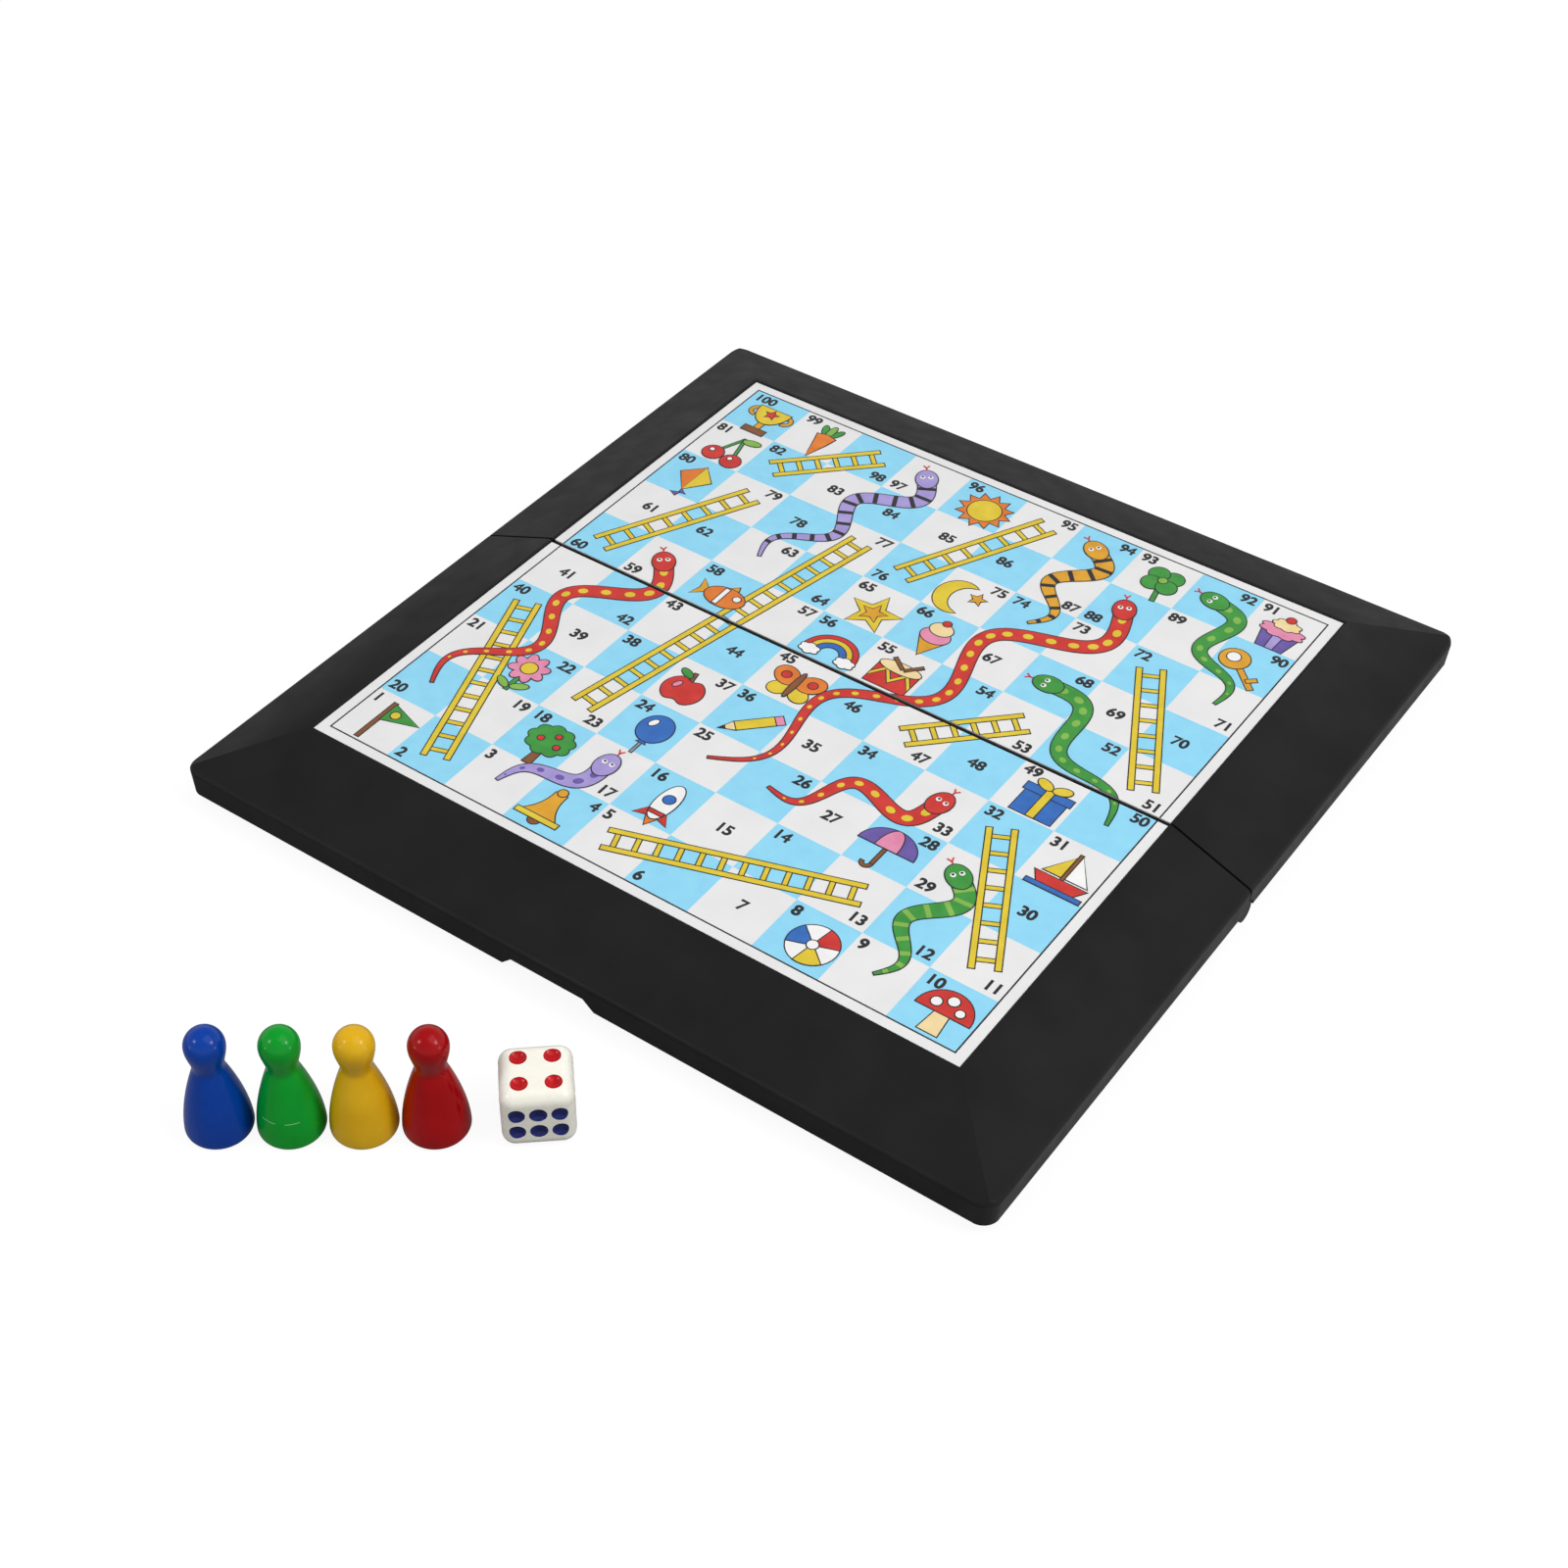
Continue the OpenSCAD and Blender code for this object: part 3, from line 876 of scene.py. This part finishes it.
def draw_snake_head(neck, facing, ink):
    """The head points away from the body and lies over the neck."""
    aside = Vector((-facing.y, facing.x))
    middle = neck + facing * HEAD_LENGTH * HEAD_FORWARD
    turn = degrees(atan2(facing.y, facing.x))
    fork = middle + facing * (HEAD_LENGTH + TONGUE_END)
    print_ink("snakes", TONGUE_LAYER, "red", bar(*(middle + facing * TONGUE_START), *fork, TONGUE_WIDTH))
    for side in (-1, 1):
        tip = fork + facing * FORK_LENGTH + aside * side * FORK_SPREAD
        print_ink("snakes", FORK_LAYER, "red", bar(*fork, *tip, FORK_WIDTH))
        eye = middle + facing * EYE_FORWARD + aside * side * EYE_ASIDE
        print_ink("snakes", EYE_LAYER, "white", oval(*eye, EYE_RADIUS))
        print_ink("snakes", PUPIL_LAYER, "black", oval(*(eye + facing * PUPIL_FORWARD), PUPIL_RADIUS))
    print_stack("snakes", SKULL_LAYER, [(ink, oval(*middle, HEAD_LENGTH, HEAD_WIDTH, turn))])
    crossed.append((middle, HEAD_LENGTH))


for snake in SNAKES:
    draw_snake(*snake)
print_subject("snakes")

# %% [markdown]
# ## Pictures
# Small clip-art pictures brighten the free squares: plain everyday things, each a few flat shapes laid
# one over another. Every picture is a short list of inks and outlines, drawn in millimetres round its own
# middle and kept under the number of its square.

# %% Pictures of plants and food
apple_angles = [2 * pi * i / 40 for i in range(40)]
dimpled = [on_oval(0, 0, 4.2, 4.0 - 1.2 * exp(-(cos(a) * 3) ** 2), a) for a in apple_angles]
PICTURES = {
    10: [  # Mushroom
        ("cream", [(-1.9, -5.2), (1.9, -5.2), (1.3, 0), (-1.3, 0)]),
        ("red", arc(0, -0.4, 5.2, 5.4, 0, 180)),
        ("white", oval(-2.3, 1.5, 0.95), oval(0.2, 3.0, 1.0), oval(2.5, 1.2, 0.8)),
    ],
    18: [  # Tree
        ("brown", [(-0.9, -5.6), (0.9, -5.6), (0.6, -1), (-0.6, -1)]),
        ("green", scallops(0, 1.6, 4.9, 4.2, 9, 0.14)),
        ("red", oval(-2, 1.2, 0.6), oval(0.7, 3.2, 0.6), oval(2.1, 0.6, 0.6)),
    ],
    22: [  # Daisy
        ("green", bar(0, -5.6, 0, -0.5, 0.8)),
        ("leaf", oval(1.8, -3.6, 1.8, 0.8, 30), oval(-1.7, -4.2, 1.7, 0.75, 150)),
        ("pink", scallops(0, 1.6, 4.1, 4.1, 8, 0.35)), ("yellow", oval(0, 1.6, 1.6)),
    ],
    37: [  # Apple
        ("brown", bar(0, 2.0, -0.7, 5.4, 0.6)), ("green", oval(-2.2, 4.6, 1.6, 0.75, -25)),
        ("red", dimpled), ("pink", oval(-1.9, 1.0, 0.5, 1.0, -25)),
    ],
    66: [  # Ice cream
        ("gold", [(-2.7, -0.4), (2.7, -0.4), (0, -5.8)]), ("pink", oval(0, 0.8, 3.1, 2.3)),
        ("cream", oval(0, 3.1, 2.4, 1.9)), ("red", oval(0, 5.2, 0.8)),
    ],
    81: [  # Cherries
        ("green", bar(-2.4, -2, 0.4, 5, 0.5), bar(2.3, -2.6, 0.4, 5, 0.5)),
        ("leaf", oval(2.4, 4.6, 2.0, 0.9, 10)), ("red", oval(-2.5, -2.6, 2.3), oval(2.4, -3.3, 2.2)),
        ("white", oval(-3.2, -1.9, 0.5), oval(1.8, -2.6, 0.5)),
    ],
    91: [  # Cupcake
        ("purple", [(-3.8, 0), (3.8, 0), (2.7, -5.2), (-2.7, -5.2)]),
        ("lilac", [(-1.0, 0), (1.0, 0), (0.7, -5.2), (-0.7, -5.2)]),
        ("pink", scallops(0, 1.0, 4.7, 2.2, 8, 0.2)), ("cream", scallops(0, 3.0, 3.0, 1.7, 7, 0.2)),
        ("red", oval(0, 4.9, 0.9)),
    ],
    93: [  # Clover
        ("green", bar(0, 0.8, 1.2, -5.6, 0.8)),
        *[("green", oval(*middle, 2.1)) for middle in arc(0, 1.2, 2.3, 2.3, 45, 315, steps=3)],
        ("leaf", oval(0, 1.2, 0.9)),
    ],
    99: [  # Carrot
        ("green", oval(-1.4, 4.2, 0.7, 1.9, 25), oval(1.4, 4.2, 0.7, 1.9, -25)),
        ("leaf", oval(0, 4.4, 0.7, 2.0)),
        ("orange", [(-2.2, 2.4), (0, 3.0), (2.2, 2.4), (1.6, -0.6), (0.2, -5.8), (-1.2, -0.8)]),
    ],
}

# %% Pictures of toys and things
flare = [Vector((1.2 + 3.0 * t ** 2.5, 4.2 - 7.2 * t)) for t in (i / 12 for i in range(13))]
PICTURES |= {
    1: [  # Flag at the start
        ("brown", bar(-2.8, -5.4, -2.8, 5.6, 0.8)), ("green", [(-2.3, 5.2), (-2.3, 0.6), (5.0, 2.9)]),
        ("yellow", oval(-0.6, 2.9, 0.9)),
    ],
    4: [  # Bell
        ("brown", oval(0, -3.6, 1.2)), ("gold", flare + [Vector((-p.x, p.y)) for p in flare[::-1]]),
        ("yellow", bar(-4.6, -3.0, 4.6, -3.0, 1.1)), ("gold", oval(0, 4.6, 0.9)),
    ],
    8: [  # Beach ball
        ("white", oval(0, 0, 4.7)), ("red", wedge(0, 0, 4.7, 20, 80)),
        ("blue", wedge(0, 0, 4.7, 140, 200)), ("yellow", wedge(0, 0, 4.7, 260, 320)),
        ("white", oval(0, 0, 1.0)),
    ],
    16: [  # Rocket
        ("orange", [(-1.2, -3.6), (0, -6.0), (1.2, -3.6)]),
        ("red", [(-1.4, -1.0), (-3.6, -4.4), (-1.2, -3.6)], [(1.4, -1.0), (1.2, -3.6), (3.6, -4.4)]),
        ("white", oval(0, 0.8, 2.1, 4.9)), ("blue", oval(0, 1.6, 1.1)),
        ("red", bar(-1.5, -2.4, 1.5, -2.4, 0.7)),
    ],
    24: [  # Balloon
        ("grey", bar(0, -5.8, 0, -2.2, 0.4)),
        ("blue", [(-0.9, -2.7), (0.9, -2.7), (0, -1.6)], oval(0, 1.8, 3.4, 3.9)),
        ("white", oval(-1.3, 3.1, 0.6, 1.1, -25)),
    ],
    28: [  # Umbrella
        ("brown", bar(0, -4.4, 0, 1, 0.6), band(-0.9, -4.4, 1.2, 0.6, 180, 360)),
        ("purple", arc(0, 0.4, 5.7, 5.0, 0, 180)), ("pink", arc(0, 0.4, 2.2, 5.0, 0, 180)),
    ],
    31: [  # Boat
        ("brown", bar(0, -2, 0, 5.6, 0.5)), ("white", [(0.5, 5.2), (0.5, -1.2), (4.7, -1.2)]),
        ("yellow", [(-0.5, 4.4), (-3.9, -1.2), (-0.5, -1.2)]),
        ("red", [(-5.1, -2), (-3.4, -4.6), (3.4, -4.6), (5.1, -2)]),
        ("blue", bar(-5.4, -5.0, 5.4, -5.0, 0.9)),
    ],
    36: [  # Pencil
        ("pink", bar(4.2, 4.2, 3.0, 3.0, 2.3)), ("yellow", bar(3.0, 3.0, -2.4, -2.4, 2.3)),
        ("cream", [(-1.6, -3.2), (-4.4, -4.4), (-3.2, -1.6)]),
        ("black", [(-3.5, -4.0), (-4.6, -4.6), (-4.0, -3.5)]),
    ],
    45: [  # Butterfly
        *[wing for s in (-1, 1) for wing in (
            ("yellow", oval(2.3 * s, -2.2, 2.1, 1.8, -30 * s)),
            ("orange", oval(2.8 * s, 1.7, 2.9, 2.3, 35 * s)), ("red", oval(3.0 * s, 1.8, 0.9)),
        )],
        ("brown", oval(0, 0, 0.6, 3.9)),
    ],
    49: [  # Gift
        ("blue", [(-4.2, -4.8), (4.2, -4.8), (4.2, 1.4), (-4.2, 1.4)], bar(-4.8, 2.2, 4.8, 2.2, 1.9)),
        ("yellow", bar(0, -4.8, 0, 3.1, 1.5), oval(-1.8, 4.1, 1.8, 1.0, -25), oval(1.8, 4.1, 1.8, 1.0, 25)),
    ],
    55: [  # Drum
        ("red", [(-4.4, -4.2), (4.4, -4.2), (4.4, 2.0), (-4.4, 2.0)]),
        ("yellow", [
            (-4.4, -2.6), (-2.2, 0.6), (0, -2.6), (2.2, 0.6), (4.4, -2.6),
            (4.4, -1.6), (2.2, 1.6), (0, -1.6), (-2.2, 1.6), (-4.4, -1.6),
        ]),
        ("cream", oval(0, 2.2, 4.5, 1.5)),
        ("brown", bar(-2.6, 4.5, 0.4, 2.2, 0.6), bar(3.4, 4.9, 0.9, 2.1, 0.6)),
    ],
    56: [  # Rainbow
        ("red", band(0, -2.4, 5.8, 4.6, 0, 180)), ("yellow", band(0, -2.4, 4.6, 3.4, 0, 180)),
        ("blue", band(0, -2.4, 3.4, 2.2, 0, 180)),
        ("white", scallops(-4.0, -2.9, 2.2, 1.5, 6, 0.22), scallops(4.0, -2.9, 2.2, 1.5, 6, 0.22)),
    ],
    58: [  # Fish
        ("gold", [(-2.6, 0), (-5.6, 2.7), (-4.8, 0), (-5.6, -2.7)], [(-0.6, 2.2), (1.8, 4.2), (2.6, 2.0)]),
        ("orange", oval(1.0, 0, 4.4, 2.9)),
        ("white", bar(0.2, -2.5, 0.2, 2.5, 0.9), oval(3.4, 0.8, 0.75)),
    ],
    65: [  # Star
        ("yellow", burst(0, -0.4, 5.8, 2.5, 5)), ("gold", burst(0, -0.4, 2.8, 1.2, 5)),
    ],
    75: [  # Moon
        ("yellow", arc(-0.6, 0, 4.6, 5.2, 60, 300) + arc(1.6, 0, 3.6, 4.3, 258, 102)),
        ("gold", burst(3.2, 1.6, 1.9, 0.8, 5)),
    ],
    80: [  # Kite
        ("purple", [(0, -3.4), (1.6, -4.4), (0.2, -4.6)], [(0.2, -4.6), (-1.4, -5.2), (0, -5.8)]),
        ("orange", [(0, 5.6), (-3.8, 1.6), (0, -3.4)]), ("yellow", [(0, 5.6), (0, -3.4), (3.8, 1.6)]),
    ],
    90: [  # Key
        ("gold", bar(0.4, -0.4, 4.8, -4.8, 1.1), bar(3.0, -3.0, 4.6, -1.6, 0.9), oval(-1.8, 1.8, 3.0)),
        ("white", oval(-2.2, 2.2, 1.3)),
    ],
    96: [  # Sun
        ("orange", burst(0, 0, 5.8, 4.1, 12)), ("yellow", oval(0, 0, 3.5)),
    ],
    100: [  # Cup
        ("gold", band(-3.5, 1.7, 1.8, 1.0, 90, 270), band(3.5, 1.7, 1.8, 1.0, -90, 90)),
        ("gold", bar(0, -4, 0, -1, 1.3)),
        ("brown", bar(-2.6, -4.8, 2.6, -4.8, 1.7)), ("yellow", arc(0, 3.9, 3.8, 5.6, 180, 360)),
        ("red", burst(0, 1.9, 1.6, 0.7, 5)),
    ],
}

# %% Pictures in their squares
# Half a layer up, so that no picture is level with a snake or a ladder that it touches
PICTURE_LAYER = 3.5
PICTURE_SCALE = 1.14
PICTURE_REACH = 7.1
PICTURE_SHIFT = 0.3
FIGURE_WIDTH = 2.2
NUMBER_INSET = 0.7
NUMBER_RISE = 5.2


def room_at(place):
    """How far a place is from the nearest ladder or snake."""
    return min((place - point).length - width for point, width in crossed)


def number_corner(number):
    """The corner of a square that leaves its number the most room."""
    aside = CELL / 2 - NUMBER_INSET - FIGURE_WIDTH * len(str(number)) / 2
    corners = [Vector((aside * x, NUMBER_RISE * y)) for y in (1, -1) for x in (-1, 1)]
    return max(corners, key=lambda corner: min(room_at(square_middle(number) + corner), CELL / 4))


def picture_middle(number):
    """A little off the middle of the square, to make room for its number, but inside the border."""
    inside = grid_half - PICTURE_REACH
    middle = square_middle(number) - number_corner(number) * PICTURE_SHIFT
    return Vector([max(-inside, min(inside, along)) for along in middle])


for number in sorted(PICTURES):
    print_stack("pictures", PICTURE_LAYER, PICTURES[number], picture_middle(number), PICTURE_SCALE)
print_subject("pictures")

# %% [markdown]
# ## Numbers
# Bold plain figures stand upright to a player at the front edge. A number sits in the middle of a plain
# square. Where a ladder, a snake or a picture fills the square, it moves to whichever corner leaves it
# the most room. The figures are made as blocks in millimetres, swollen along their normals to make them
# bold, and then flattened to ink.

# %% Numbers
NUMBER_SIZE = 3.9
NUMBER_WEIGHT = 0.23
NUMBER_BLOCK = 0.5
NUMBER_MERGE = 0.001  # in the blocks' own millimetres
NUMBER_LAYER = 2
NUMBER_ROOM = 2.7


def number_place(number):
    """The middle of a plain square, or a corner of one that holds something."""
    middle = square_middle(number)
    if number not in PICTURES and room_at(middle) > NUMBER_ROOM:
        return middle
    return middle + number_corner(number)


labels = []
for number in range(1, LAST_SQUARE + 1):
    bpy.ops.object.select_all(action="DESELECT")
    bpy.ops.object.text_add(location=number_place(number).to_3d())
    label = bpy.context.object
    label.data.body = str(number)
    label.data.size = NUMBER_SIZE
    label.data.extrude = NUMBER_BLOCK
    label.data.align_x = label.data.align_y = "CENTER"
    labels.append(label)
work_on(*labels)
bpy.ops.object.convert(target="MESH")
figures = join_as(labels, "figures")
bpy.ops.object.transform_apply()
close_mesh(figures, NUMBER_MERGE)
edit_all(figures)
bpy.ops.transform.shrink_fatten(value=NUMBER_WEIGHT)
leave_edit_mode()
ink_height = NUMBER_LAYER * LAYER
figures.scale = (MM, MM, ink_height / figures.dimensions.z)
figures.location = (0, FOLD_Y, PRINT_TOP + ink_height / 2)
bpy.ops.object.transform_apply()
figures.data.materials.clear()
figures.data.materials.append(inks["black"])
lay_on_halves("numbers", [figures])

# %% [markdown]
# ## Pawns
# A pawn is moulded in one piece: a rounded foot, a full body, a drawn-in neck and a round head, with a
# blind hole under it for the magnet. Everything about it is round, so its half outline is drawn point by
# point, as a chain of extruded corners, and spun about its axis. One pawn is made and copied for the
# other colours.

# %% Glossy pawn plastic
# The height of a thin pale line painted on the green pawn's front, and half its width
PALE_LINE_Z = 7.0 * MM
PALE_LINE_HALF = 0.06 * MM
# The two stretches lie this far to each side of a middle that is off to the left
STRETCH_OFF = 0.7 * MM
STRETCH_ASIDE = 2.2 * MM
STRETCH_HALF = 1.3 * MM


def mould_line(tree, place, pawn):
    """One along a thin level line on the front of a pawn, the side towards the camera, in two stretches."""
    low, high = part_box(pawn)
    about_axis = add(tree, "Mapping", {
        "Vector": place, "Location": ((low.x + high.x) / 2, (low.y + high.y) / 2, PALE_LINE_Z),
        "Rotation": (0, 0, CAMERA_AZIMUTH),
    }, vector_type="TEXTURE")
    split = add(tree, "SeparateXYZ", {"Vector": about_axis}).outputs
    middle = add(tree, "Math", {0: split["X"], 1: STRETCH_OFF}, operation="ADD")
    aside = add(tree, "Math", {0: middle}, operation="ABSOLUTE")
    level = add(tree, "Math", {0: split["Z"], 1: 0.0, 2: PALE_LINE_HALF}, operation="COMPARE")
    stretch = add(tree, "Math", {0: aside, 1: STRETCH_ASIDE, 2: STRETCH_HALF}, operation="COMPARE")
    front = add(tree, "Math", {0: split["Y"], 1: 0.0}, operation="LESS_THAN")
    on_line = add(tree, "Math", {0: level, 1: stretch}, operation="MULTIPLY")
    return add(tree, "Math", {0: on_line, 1: front}, operation="MULTIPLY")


def moulded_polystyrene(name, light, dark, lined_pawn=None):
    # Polystyrene, moulded in a polished tool: clean gloss, with a deeper colour where it flowed last
    material, tree, shader, place = new_finish(f"polystyrene_{name}")
    colour = mottled(tree, place, 7, dark, light)
    if lined_pawn:
        # A thin pale line is painted across the front, the side towards the camera, in two stretches
        pale = add(tree, "Mix", {
            "Factor": mould_line(tree, place, lined_pawn), "A": colour, "B": linear("#a4deac"),
        }, data_type="RGBA")
        colour = pale.outputs["Result"]
    wave = mottled(tree, place, 5, 0.0, 1.0)
    bump = add(tree, "Bump", {"Height": wave, "Strength": 0.1, "Distance": 0.05 * MM})
    connect(shader, {
        "Base Color": colour,
        "Roughness": mottled(tree, place, 3, 0.16, 0.21),
        "Normal": bump,
        "IOR": 1.55,
        "Specular IOR Level": 0.16,
    })
    return material


pawn_finishes = {
    "blue": moulded_polystyrene("blue", "#0842a6", "#053b9a"),
    "green": moulded_polystyrene("green", "#07a230", "#059628", lined_pawn="green_pawn"),
    "yellow": moulded_polystyrene("yellow", "#e6b61e", "#dcaa14"),
    "red": moulded_polystyrene("red", "#aa060e", "#9c0409"),
}

# %% Spinning a pawn
NECK_RADIUS = 3.0
NECK_Z = 16.8
HEAD_RADIUS = 3.9
HEAD_Z = 22.4
FOOT_ROUND = 1.2
FULLNESS = 1.65
POCKET_RADIUS = 4.05
POCKET_DEPTH = 2.2
FOOT_STEPS, BODY_STEPS, NECK_STEPS, HEAD_STEPS = 8, 24, 12, 16
SPIN_STEPS = 96
pawn_low, pawn_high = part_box("red_pawn")
pawn_height = pawn_high.z / MM
foot_radius = (pawn_high.x - pawn_low.x) / 2 / MM


def pawn_outline():
    """Half a pawn's outline, from the magnet's hole over the foot to the top of the head."""
    points = [(0, POCKET_DEPTH), (POCKET_RADIUS, POCKET_DEPTH), (POCKET_RADIUS, 0)]
    for i in range(FOOT_STEPS + 1):
        a = pi / 2 * i / FOOT_STEPS
        points.append((foot_radius - FOOT_ROUND * (1 - sin(a)), FOOT_ROUND * (1 - cos(a))))
    for i in range(1, BODY_STEPS + 1):
        t = i / BODY_STEPS
        swell = (foot_radius - NECK_RADIUS) * (1 - t ** FULLNESS)
        points.append((NECK_RADIUS + swell, FOOT_ROUND + (NECK_Z - FOOT_ROUND) * t))
    for i in range(1, NECK_STEPS + 1):
        t = i / NECK_STEPS
        ease = (1 - cos(pi * t)) / 2
        points.append((NECK_RADIUS + (HEAD_RADIUS - NECK_RADIUS) * ease, NECK_Z + (HEAD_Z - NECK_Z) * t))
    for i in range(1, HEAD_STEPS + 1):
        a = pi / 2 * i / HEAD_STEPS
        points.append((HEAD_RADIUS * cos(a), HEAD_Z + (pawn_height - HEAD_Z) * sin(a)))
    return [Vector((radius, 0, height)) * MM for radius, height in points]


outline = pawn_outline()
bpy.ops.object.select_all(action="DESELECT")
bpy.ops.mesh.primitive_plane_add(size=MM, location=outline[0])
master_pawn = bpy.context.object
bpy.ops.object.transform_apply()
edit_all(master_pawn)
bpy.ops.mesh.merge(type="CENTER")
for corner, after in zip(outline, outline[1:]):
    bpy.ops.mesh.extrude_vertices_move(TRANSFORM_OT_translate={"value": after - corner})
bpy.ops.mesh.select_all(action="SELECT")
bpy.ops.mesh.spin(steps=SPIN_STEPS, angle=2 * pi, center=(0, 0, 0), axis=(0, 0, 1))
leave_edit_mode()
close_mesh(master_pawn)
bpy.ops.object.shade_smooth_by_angle(angle=radians(40))

for colour, finish in pawn_finishes.items():
    low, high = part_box(f"{colour}_pawn")
    pawn = new_piece(f"{colour}_pawn_moulding", master_pawn.data.copy())
    pawn.location = ((low.x + high.x) / 2, (low.y + high.y) / 2, 0)
    work_on(pawn)
    bpy.ops.object.transform_apply()
    pawn.data.materials.append(finish)
    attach(pawn, f"{colour}_player")
    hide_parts(f"{colour}_pawn")
bpy.data.objects.remove(master_pawn)
print("pawns:", len(pawn_finishes), "of", len(pawn.data.polygons), "faces each")

# %% [markdown]
# ## Die
# The die is a small cube of cast resin, tumbled until its edges are round, with dished pips that are
# painted: red for the one and the four, dark blue for the rest. The cube's edges are bevelled, and balls
# are sunk into its faces with a Boolean that lets each dish keep its ball's paint.

# %% Die plastic and paint
def cast_resin():
    # Cast urea resin, tumbled: warm white and faintly cloudy, with a soft polish
    material, tree, shader, place = new_finish("cast_ivory_resin")
    connect(shader, {
        "Base Color": mottled(tree, place, 5, "#f6f3e6", "#f9f7ec"),
        "Roughness": mottled(tree, place, 2.5, 0.25, 0.30),
        "Subsurface Weight": 0.12,
        "Subsurface Radius": (1.5 * MM, 1.3 * MM, 1.0 * MM),
        "Subsurface Scale": 1.0,
    })
    return material


def pip_paint(name, light, dark):
    # Enamel wiped into a dish: glossy, thinner towards its rim
    material, tree, shader, place = new_finish(f"enamel_{name}")
    connect(shader, {
        "Base Color": mottled(tree, place, 1.2, dark, light),
        "Roughness": mottled(tree, place, 0.8, 0.18, 0.32),
        "Specular IOR Level": 0.25,
    })
    return material


resin = cast_resin()
red_enamel = pip_paint("red", "#c80c16", "#ac0610")
blue_enamel = pip_paint("blue", "#182470", "#101a5a")

# %% Drilling the die
DIE_SIZE = 14.0 * MM
DIE_ROUND = 2.6 * MM
DIE_TURN = 41.0
PIP_RADIUS = 1.7 * MM
PIP_DEPTH = 0.8 * MM
PIP_REACH = 3.2 * MM
PIP_ROW_REACH = 2.2 * MM
PIP_ROW_PITCH = 4.1 * MM
# Value of a face, the turn that brings it up, and the paint of its pips
DIE_FACES = [
    (4, (0, 0, 0), red_enamel), (3, (180, 0, 0), blue_enamel), (6, (90, 0, 0), blue_enamel),
    (1, (-90, 0, 0), red_enamel), (2, (0, 90, 0), blue_enamel), (5, (0, -90, 0), blue_enamel),
]


def pip_places(value):
    """Where the pips of a face lie, from its middle."""
    places = [(0, 0)] if value % 2 else []
    if value in (2, 3):
        places += [(s * PIP_REACH, s * PIP_REACH) for s in (-1, 1)]
    if value in (4, 5):
        places += [(x * PIP_REACH, y * PIP_REACH) for x in (-1, 1) for y in (-1, 1)]
    if value == 6:
        places += [(x * PIP_ROW_PITCH, y * PIP_ROW_REACH) for x in (-1, 0, 1) for y in (-1, 1)]
    return places


bpy.ops.object.select_all(action="DESELECT")
bpy.ops.mesh.primitive_cube_add(size=DIE_SIZE)
die = bpy.context.object
die.name = "die_resin"
edit_all(die)
bpy.ops.mesh.bevel(offset=DIE_ROUND, segments=10, affect="EDGES")
leave_edit_mode()
die.data.materials.append(resin)

ball_radius = (PIP_RADIUS ** 2 + PIP_DEPTH ** 2) / (2 * PIP_DEPTH)
balls = []
for value, turn, paint in DIE_FACES:
    bring_up = Euler([radians(a) for a in turn]).to_matrix()
    for x, y in pip_places(value):
        bpy.ops.object.select_all(action="DESELECT")
        middle = bring_up @ Vector((x, y, DIE_SIZE / 2 - PIP_DEPTH + ball_radius))
        bpy.ops.mesh.primitive_uv_sphere_add(segments=40, ring_count=24, radius=ball_radius, location=middle)
        ball = bpy.context.object
        ball.data.materials.append(paint)
        balls.append(ball)
cutter = join_as(balls, "pip_balls")
bpy.ops.object.transform_apply()
work_on(die)
sink = die.modifiers.new("pips", "BOOLEAN")
sink.operation = "DIFFERENCE"
sink.solver = "EXACT"
sink.use_self = True
sink.material_mode = "TRANSFER"
sink.object = cutter
bpy.ops.object.modifier_apply(modifier=sink.name)
bpy.data.objects.remove(cutter)
smooth_moulding(die, sharp_degrees=30)
die_low, die_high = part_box("die")
die.rotation_euler = (0, 0, radians(DIE_TURN))
die.location = (die_low + die_high) / 2
bpy.ops.object.transform_apply()
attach(die, "die")
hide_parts("die")
print("die:", len(die.data.polygons), "faces in", [m.name for m in die.data.materials])
